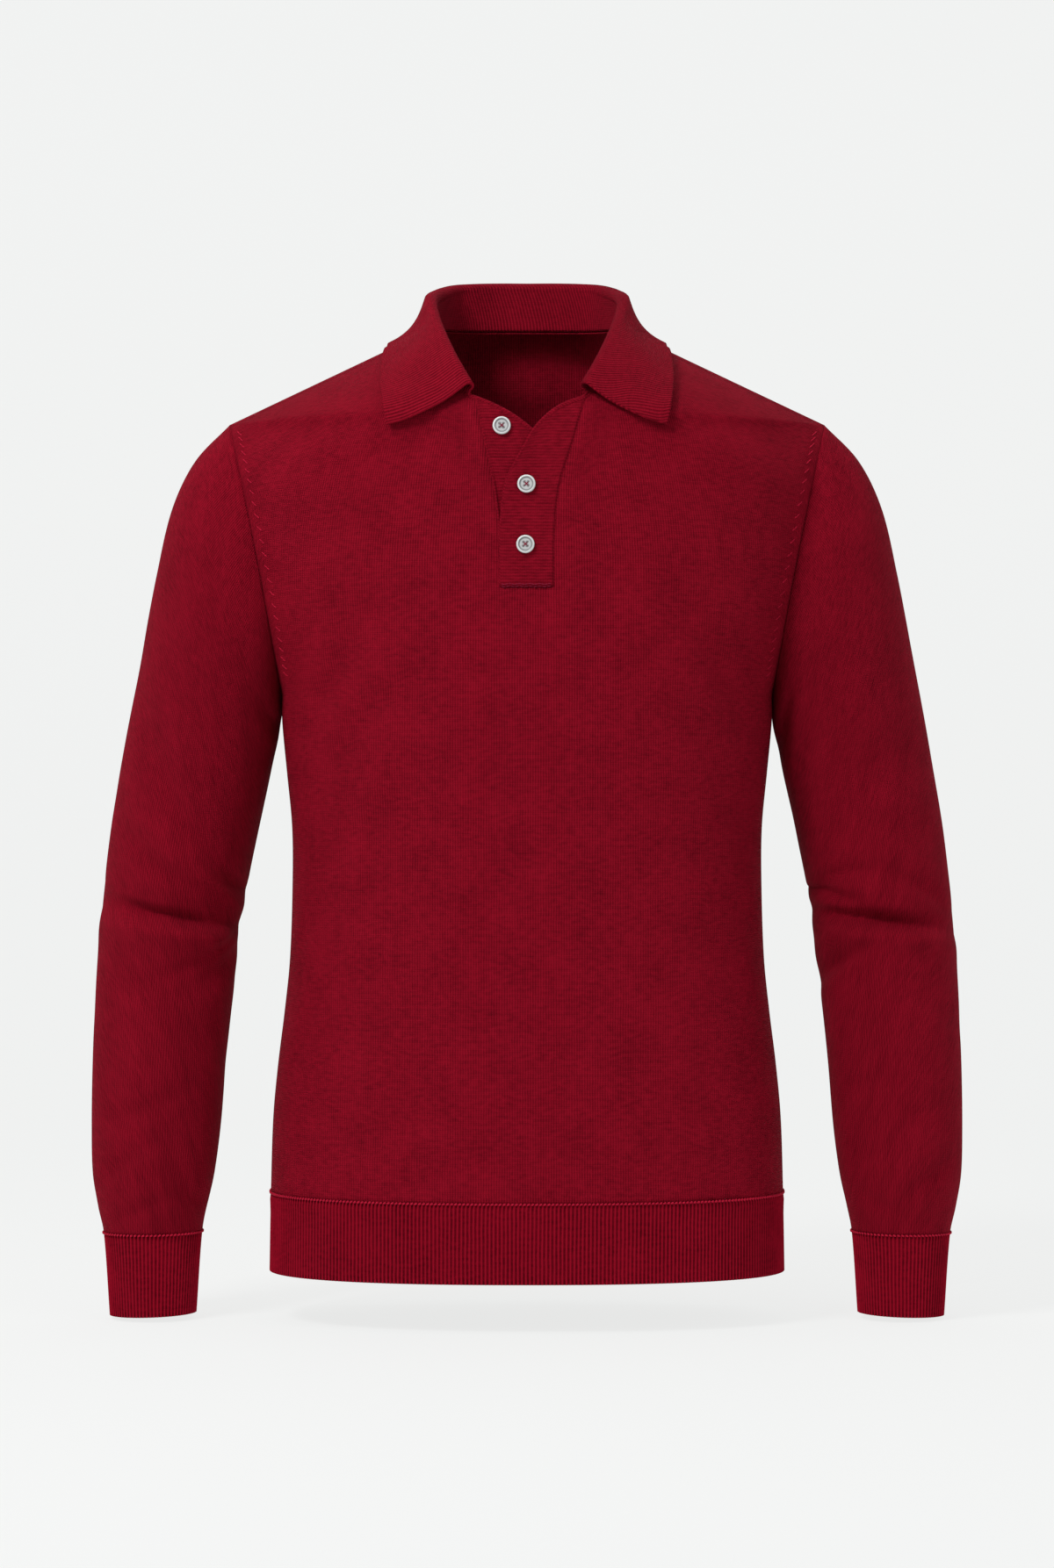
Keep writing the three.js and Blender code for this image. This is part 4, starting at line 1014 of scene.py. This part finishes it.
buttons, button_threads = {}, {}
for name, (x, z, is_over) in BUTTON_PLACES.items():
    where = strip_frame(x, z, is_over, SEAM_GAP + BUTTON["thick"] / 2)
    points, faces, flat = button_shape(where)
    buttons[name] = mesh_piece(f"{name}_turned", points, faces)
    map_vertices(buttons[name], flat * MM)
    step = BUTTON["hole_step"]
    bars = []
    for sx in (1, -1):
        for beside in (-0.2, 0.2):
            low = np.array([[-step * sx + beside, -step, 0.62 + 0.12 * (sx > 0)]])
            high = np.array([[step * sx + beside, step, 0.62 + 0.12 * (sx > 0)]])
            bars.append(tube_between(placed(low, where)[0], placed(high, where)[0], 0.2))
    shank = np.array([[0, 0, -2.3]]), np.array([[0, 0, 0.3]])
    bars.append(tube_between(placed(shank[0], where)[0], placed(shank[1], where)[0], 0.5))
    button_threads[name] = mesh_piece(f"{name}_thread", *join(bars))


# %% [markdown]
# ## Sewing: stitches that lie on the cloth
# Stitches could be drawn in the material. A row of small loops standing on the cloth is truer at the
# seams that show most: the bar across the placket's foot, the chain that links each rib band, and the
# fashioning marks beside the armholes.

# %% Stitches laid on a surface
def stitch_row(points, out, length, radius, gap):
    """Short threads along a path of points, one after the other, lifted a little off the cloth."""
    reach = running_length(points)
    starts = np.arange(0, reach[-1] - length, length + gap)
    a, b = points_at(starts, reach, points), points_at(starts + length, reach, points)
    lift = points_at(starts + length / 2, reach, out) * radius * 0.5
    return [tube_between(p + o, q + o, radius, sides=6) for p, q, o in zip(a, b, lift)]


def on_front(x, z, lift):
    """A path on the front's outer face, raised by lift."""
    points = torso_points(x, z, "front")
    points[:, 1] -= lift
    return points


foot_x = np.linspace(-17.5, 17.6, 40)
bar_points = on_front(foot_x, np.full(40, PLACKET["low"] + 2.2) + 0.5 * np.sin(foot_x * 0.9), 0.9)
bar_out = np.repeat([[0, -1.0, 0]], 40, 0)
zigzag = stitch_row(bar_points, bar_out, 1.9, 0.34, 0.5)
low_row = bar_points + np.array([0, 0.15, -1.7])
placket_bar = mesh_piece("placket_bar_stitches", *join(zigzag + stitch_row(low_row, bar_out, 2.4, 0.3, 0.9)))


# %% The chain that links each rib band, and the fashioning marks beside the armholes
LINK_HALF_SHARE, LINK_LEAN, LINK_LIFT = 0.36, 0.5, 0.5
MARK_RADIUS = 0.42


def ring_stitches(name, ring, out, count, radius):
    """One short thread over each rib of a closed ring."""
    loop = np.concatenate([ring, ring[:1]])
    outs = np.concatenate([out, out[:1]])
    reach = running_length(loop)
    goal = (np.arange(count) + 0.5) / count * reach[-1]
    half = reach[-1] / count * LINK_HALF_SHARE
    lean = np.array([0, 0, LINK_LEAN])
    lift = points_at(goal, reach, outs) * LINK_LIFT
    starts, ends = points_at(goal - half, reach, loop), points_at(goal + half, reach, loop)
    return mesh_piece(name, *join([tube_between(a + o - lean, b + o + lean, radius, sides=6)
                                   for a, b, o in zip(starts, ends, lift)]))


spot, out = hoop_outline(RIB_SEAM, 720)[:2]
hem_ring = np.column_stack([spot[:, 0], spot[:, 1] + MID_Y, np.full(720, RIB_SEAM + 0.1)])
links = [ring_stitches("hem_link_stitches", hem_ring, np.column_stack([out, np.zeros(720)]), HEM_RIBS, 0.75)]
for side, name in ((1, "cuff_left"), (-1, "cuff_right")):
    turn = np.linspace(0, 2 * math.pi, 181)[None, :-1]
    ring = sleeve_points(side, np.array([[SLEEVE_END + 0.2]]), turn, folds=[])[0]
    away = unit(ring - ring.mean(axis=0))
    links.append(ring_stitches(f"{name}_link_stitches", ring, away, CUFF_RIBS, 0.7))


def fashioning_marks(part, side):
    """Pairs of slanting stitches inside the armhole seam, where the knitter narrowed the panel."""
    threads = []
    for angle in np.radians(np.linspace(24, 150, 24)):
        z = float(armhole_height(angle))
        x = side * (float(armhole_x(z)) - 6.5)
        spots = torso_points(np.array([x - side * 1.6, x + side * 0.2, x + side * 1.9]),
                             np.array([z - 1.6, z, z + 1.7]), part)
        spots[:, 1] += (-0.25 if part == "front" else 0.25)
        threads += [tube_between(a, b, MARK_RADIUS, sides=6) for a, b in zip(spots[:-1], spots[1:])]
    return threads


marks = []
for part in ("front", "back"):
    threads = fashioning_marks(part, 1) + fashioning_marks(part, -1)
    marks.append(mesh_piece(f"{part}_fashioning_marks", *join(threads)))


# %% [markdown]
# ## Yarn and knit
# The cloth could take a photograph of knitting as its texture. Stitches drawn from the map coordinates in
# metres stay sharp at every distance, and one function serves every piece: wales are ridges across, and
# courses are the small steps along them, both with an uneven yarn.

# %% Small node helpers
def new_material(name):
    material = bpy.data.materials.new(name)
    material.use_nodes = True
    tree = material.node_tree
    tree.nodes.clear()
    shader = tree.nodes.new("ShaderNodeBsdfPrincipled")
    out = tree.nodes.new("ShaderNodeOutputMaterial")
    tree.links.new(shader.outputs["BSDF"], out.inputs["Surface"])
    return material, tree, shader


def feed(tree, socket, value):
    if isinstance(value, bpy.types.NodeSocket):
        tree.links.new(value, socket)
    else:
        socket.default_value = value


def calculate(tree, operation, *values):
    node = tree.nodes.new("ShaderNodeMath")
    node.operation = operation
    for socket, value in zip(node.inputs, values):
        feed(tree, socket, value)
    return node.outputs[0]


def noise(tree, vector, scale, detail=2.0):
    node = tree.nodes.new("ShaderNodeTexNoise")
    node.inputs["Scale"].default_value = scale
    node.inputs["Detail"].default_value = detail
    tree.links.new(vector, node.inputs["Vector"])
    return node.outputs["Fac"]


def wave(tree, place, pitch, phase=0.0):
    """A cosine from 0 to 1 along one map direction; pitch in metres."""
    angle = calculate(tree, "ADD", calculate(tree, "MULTIPLY", place, 2 * math.pi / pitch), phase)
    return calculate(tree, "MULTIPLY_ADD", calculate(tree, "COSINE", angle), 0.5, 0.5)


def ramp(tree, share, low, high):
    node = tree.nodes.new("ShaderNodeMix")
    node.data_type = "RGBA"
    feed(tree, node.inputs[0], share)
    node.inputs[6].default_value = (*low, 1)
    node.inputs[7].default_value = (*high, 1)
    return node.outputs[2]


# %% The knit, as height and colour
RED_LIGHT = (0.365, 0.0052, 0.0215)
RED_RIB = (0.300, 0.0036, 0.0170)
RED_COLLAR = (0.305, 0.0044, 0.0180)
RED_TAPE = (0.640, 0.0160, 0.0500)
# The ramp's dark end stands for painted shade in the stitch hollows as well as the darker heather of the
# yarn.
RED_SHADE_AND_HEATHER = (0.080, 0.0004, 0.0040)
MIDDLE_RELIEF = 0.67
MIDDLE_TONE = 0.68
CLOUD_SHARE = 0.6
MIDDLE_HEATHER = 0.8


def knit(name, wale, course, depth, wale_share=0.6, mottle=1.0, painted_relief_shading=0.5,
         light=RED_LIGHT, dark=RED_SHADE_AND_HEATHER):
    """Wales run along the piece and courses across it; depth is the relief in metres. The colour follows the
    relief as painted shade in its hollows and painted light on its crests, and the uneven yarn by mottle,
    round one middle tone."""
    material, tree, shader = new_material(name)
    mapping = tree.nodes.new("ShaderNodeUVMap")
    mapping.uv_map = "cloth"
    uv = mapping.outputs["UV"]
    split = tree.nodes.new("ShaderNodeSeparateXYZ")
    tree.links.new(uv, split.inputs[0])
    u, v = split.outputs[0], split.outputs[1]
    drift = calculate(tree, "MULTIPLY", calculate(tree, "SUBTRACT", noise(tree, uv, 60), 0.5), 0.0009)
    u = calculate(tree, "ADD", u, drift)
    half = wave(tree, u, wale)
    lean = calculate(tree, "MULTIPLY", wave(tree, u, wale / 2), 2.4)
    loops = wave(tree, v, course, lean)
    relief = calculate(tree, "ADD", calculate(tree, "MULTIPLY", half, wale_share),
                       calculate(tree, "MULTIPLY", loops, 1 - wale_share))
    fuzz = noise(tree, uv, 2600, 3.0)
    relief = calculate(tree, "ADD", relief, calculate(tree, "MULTIPLY", fuzz, 0.35))
    cloud = noise(tree, uv, 34, 3.0)
    streaks = tree.nodes.new("ShaderNodeMapping")
    streaks.inputs["Scale"].default_value = (0.35, 1, 1)
    tree.links.new(uv, streaks.inputs["Vector"])
    yarn = noise(tree, streaks.outputs[0], 420, 2.5)
    heather = calculate(tree, "MULTIPLY_ADD", cloud, CLOUD_SHARE, yarn)
    heather = calculate(tree, "MULTIPLY", calculate(tree, "SUBTRACT", heather, MIDDLE_HEATHER), mottle)
    # Painted shade and light: the colour darkens in the relief's hollows and lightens on its crests.
    tone = calculate(tree, "MULTIPLY", calculate(tree, "SUBTRACT", relief, MIDDLE_RELIEF), painted_relief_shading)
    tone = calculate(tree, "ADD", calculate(tree, "ADD", tone, heather), MIDDLE_TONE)
    feed(tree, shader.inputs["Base Color"], ramp(tree, tone, dark, light))
    bump = tree.nodes.new("ShaderNodeBump")
    bump.inputs["Distance"].default_value = depth
    bump.inputs["Strength"].default_value = 0.9
    tree.links.new(relief, bump.inputs["Height"])
    tree.links.new(bump.outputs[0], shader.inputs["Normal"])
    shader.inputs["Roughness"].default_value = 0.88
    shader.inputs["Specular IOR Level"].default_value = 0.04
    shader.inputs["Sheen Weight"].default_value = 0.05
    shader.inputs["Sheen Roughness"].default_value = 0.45
    shader.inputs["Sheen Tint"].default_value = (0.9, 0.05, 0.12, 1)
    return material


jersey = knit("jersey_knit", 0.0018, 0.0013, 0.0011, mottle=0.95, painted_relief_shading=0.7)
rib = knit("rib_knit_yarn", RIB_PITCH * MM, 0.0016, 0.0005, wale_share=1.0, painted_relief_shading=1.0, light=RED_RIB)
collar_knit = knit("collar_flat_knit", 0.0024, 0.0014, 0.0011, wale_share=0.8, mottle=0.7, painted_relief_shading=0.8,
                   light=RED_COLLAR)
placket_knit = knit("placket_cross_knit", 0.0016, 0.0022, 0.0009, wale_share=0.2, painted_relief_shading=0.6)
tape_knit = knit("tape_weave", 0.0012, 0.0012, 0.0004, mottle=0.6, light=RED_TAPE, dark=RED_LIGHT)


# %% Button resin and sewing thread
def plain(name, colour, roughness, specular=0.5, coat=0.0):
    material, tree, shader = new_material(name)
    place = tree.nodes.new("ShaderNodeTexCoord").outputs["Object"]
    cloud = noise(tree, place, 240)
    low = tuple(0.88 * c for c in colour)
    feed(tree, shader.inputs["Base Color"], ramp(tree, cloud, low, colour))
    shader.inputs["Roughness"].default_value = roughness
    shader.inputs["Specular IOR Level"].default_value = specular
    shader.inputs["Coat Weight"].default_value = coat
    return material


def button_resin_painted_shade():
    """White at the rim and the middle, with painted shade as grey in the dish between, by distance from the
    button's centre.
    """
    material, tree, shader = new_material("button_resin_painted_shade")
    mapping = tree.nodes.new("ShaderNodeUVMap")
    mapping.uv_map = "cloth"
    length = tree.nodes.new("ShaderNodeVectorMath")
    length.operation = "LENGTH"
    tree.links.new(mapping.outputs["UV"], length.inputs[0])
    rings = tree.nodes.new("ShaderNodeValToRGB")
    share = calculate(tree, "DIVIDE", length.outputs["Value"], BUTTON["radius"] * MM)
    tree.links.new(share, rings.inputs[0])
    # share of the radius, grey; the darkest greys, in the dish, are painted shade
    bands = [(0.0, 0.40), (0.20, 0.52), (0.55, 0.56), (0.66, 0.30), (0.74, 0.20), (0.80, 0.62),
             (0.93, 0.80), (1.0, 0.42)]
    stops = rings.color_ramp.elements
    while len(stops) < len(bands):
        stops.new(0.5)
    for stop, (place, grey) in zip(stops, bands):
        stop.position = place
        stop.color = (grey, grey, grey, 1)
    tree.links.new(rings.outputs[0], shader.inputs["Base Color"])
    shader.inputs["Roughness"].default_value = 0.3
    return material


resin = button_resin_painted_shade()
thread = plain("sewing_thread", (0.26, 0.012, 0.04), 0.8, specular=0.1)
# The seam yarn's red is lighter than the cloth's as painted light, lifting the link rows and fashioning
# marks out of the shade of the seams.
seam_yarn_painted_light = plain("seam_yarn_painted_light", (0.46, 0.008, 0.034), 0.85, specular=0.1)


# %% [markdown]
# ## Each piece in its place
# Every piece rides on the one body, stands for its solid and takes its material, so that the part can be
# repainted or posed later without reading the rest of this file.

# %% Ride, replace and paint
SLEEVE_AREA = 0.158
CUTS = [
    # piece, node, slot, material, flat width and length in metres, flat area
    (front_panel, "front_panel", "jersey", jersey, (0.450, 0.630), 0.265),
    (back_panel, "back_panel", "jersey", jersey, (0.450, 0.700), 0.283),
    (sleeves["sleeve_left"], "sleeve_left", "jersey", jersey, (0.380, 0.560), SLEEVE_AREA),
    (sleeves["sleeve_right"], "sleeve_right", "jersey", jersey, (0.380, 0.560), SLEEVE_AREA),
    (cuffs["cuff_left"], "cuff_left", "rib_knit", rib, (0.212, 0.060), 0.0127),
    (cuffs["cuff_right"], "cuff_right", "rib_knit", rib, (0.212, 0.060), 0.0127),
    (hem_piece, "hem_rib", "rib_knit", rib, (0.980, 0.056), 0.0548),
    (collar_piece, "collar", "collar_knit", collar_knit, (0.440, 0.092), 0.0395),
    (tape_piece, "neck_tape", "tape", tape_knit, (0.210, 0.010), 0.00168),
    (strips["placket_over"], "placket_over", "placket_knit", placket_knit, (0.037, 0.130), 0.0043),
    (strips["placket_under"], "placket_under", "placket_knit", placket_knit, (0.037, 0.130), 0.0043),
]
for piece, node, slot_name, material, flat, area in CUTS:
    piece.data.materials.append(material)
    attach(piece, "root")
    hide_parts(node)
for name, piece in buttons.items():
    piece.data.materials.append(resin)
    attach(piece, "root")
    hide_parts(name)
for piece in [*button_threads.values(), placket_bar]:
    piece.data.materials.append(thread)
    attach(piece, "root")
for piece in [*links, *marks]:
    piece.data.materials.append(seam_yarn_painted_light)
    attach(piece, "root")
for piece in (over_roll, under_roll, *slit_seams):
    piece.data.materials.append(placket_knit)
    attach(piece, "root")


# %% [markdown]
# ## Studio: a pale sweep, soft light from all round
# The photograph is a catalogue shot: even light, a faint shadow under the shirt and no horizon. A white
# world alone would be flat, so a broad lamp from the upper left gives the folds their shade.

# %% Floor and backdrop in one sweep
FLOOR_Z = -0.7085
BACKDROP_Y = 2.6
SWEEP_RADIUS = 1.2
FLOOR_FRONT = -1.5
BACKDROP = (0.14, 0.14, 0.14)
FLOOR_PAPER = (0.12, 0.12, 0.12)
GLOW = 0.79


def sweep():
    """A floor that turns up into a wall through a quarter circle."""
    turn = np.linspace(0, math.pi / 2, 25)
    curve_y = BACKDROP_Y - SWEEP_RADIUS + SWEEP_RADIUS * np.sin(turn)
    y = np.concatenate([[FLOOR_FRONT], curve_y, [BACKDROP_Y]])
    z = np.concatenate([[0.0], SWEEP_RADIUS * (1 - np.cos(turn)), [6.0]]) + FLOOR_Z
    x = np.array([-6.0, 6.0])
    grid = np.stack(np.broadcast_arrays(x[:, None], y[None], z[None]), -1).reshape(-1, 3)
    count = len(y)
    faces = [[i, i + count, i + count + 1, i + 1] for i in range(count - 1)]
    return mesh_piece("studio_sweep", grid / MM, faces)


floor = sweep()
material, tree, shader = new_material("sweep_paper")
place = tree.nodes.new("ShaderNodeTexCoord").outputs["Object"]
split = tree.nodes.new("ShaderNodeSeparateXYZ")
tree.links.new(place, split.inputs[0])
climb = calculate(tree, "MULTIPLY", calculate(tree, "SUBTRACT", split.outputs[2], FLOOR_Z), 1.4)
clear = calculate(tree, "MINIMUM", calculate(tree, "MAXIMUM", climb, 0.0), 1.0)
feed(tree, shader.inputs["Base Color"], ramp(tree, clear, FLOOR_PAPER, BACKDROP))
shader.inputs["Roughness"].default_value = 0.95
shader.inputs["Emission Color"].default_value = (0.99, 1.0, 0.992, 1)
shader.inputs["Emission Strength"].default_value = GLOW
shader.inputs["Specular IOR Level"].default_value = 0.0
floor.data.materials.append(material)


# %% Lights
def area_light(name, spot, target, size, power, colour=(1, 1, 1)):
    data = bpy.data.lights.new(name, "AREA")
    data.size, data.energy, data.color = size, power, colour
    lamp = bpy.data.objects.new(name, data)
    bpy.context.scene.collection.objects.link(lamp)
    lamp.location = spot
    lamp.rotation_euler = (Vector(target) - Vector(spot)).to_track_quat("-Z", "Y").to_euler()
    return lamp


area_light("key", (-1.1, -1.35, 1.35), (0, 0, -0.15), 0.7, 36)
area_light("fill", (1.7, -2.0, 1.3), (0, 0, -0.2), 1.8, 9)
area_light("top", (0, -0.2, 1.9), (0, 0, -0.3), 1.4, 9)
world = bpy.data.worlds.new("studio")
bpy.context.scene.world = world
world.use_nodes = True
world.node_tree.nodes["Background"].inputs["Color"].default_value = (0.95, 0.98, 1.0, 1)
world.node_tree.nodes["Background"].inputs["Strength"].default_value = 0.31


# %% The camera, where the photograph's was
camera_data = bpy.data.cameras.new("camera")
camera_data.sensor_fit = "VERTICAL"
camera_data.sensor_height = 24
camera_data.lens = 70.39
camera = bpy.data.objects.new("camera", camera_data)
bpy.context.scene.collection.objects.link(camera)
camera.location = (0, -3.3, -0.3263)
camera.rotation_euler = (math.pi / 2, 0, 0)
bpy.context.scene.camera = camera
bpy.context.scene.view_settings.view_transform = "Standard"
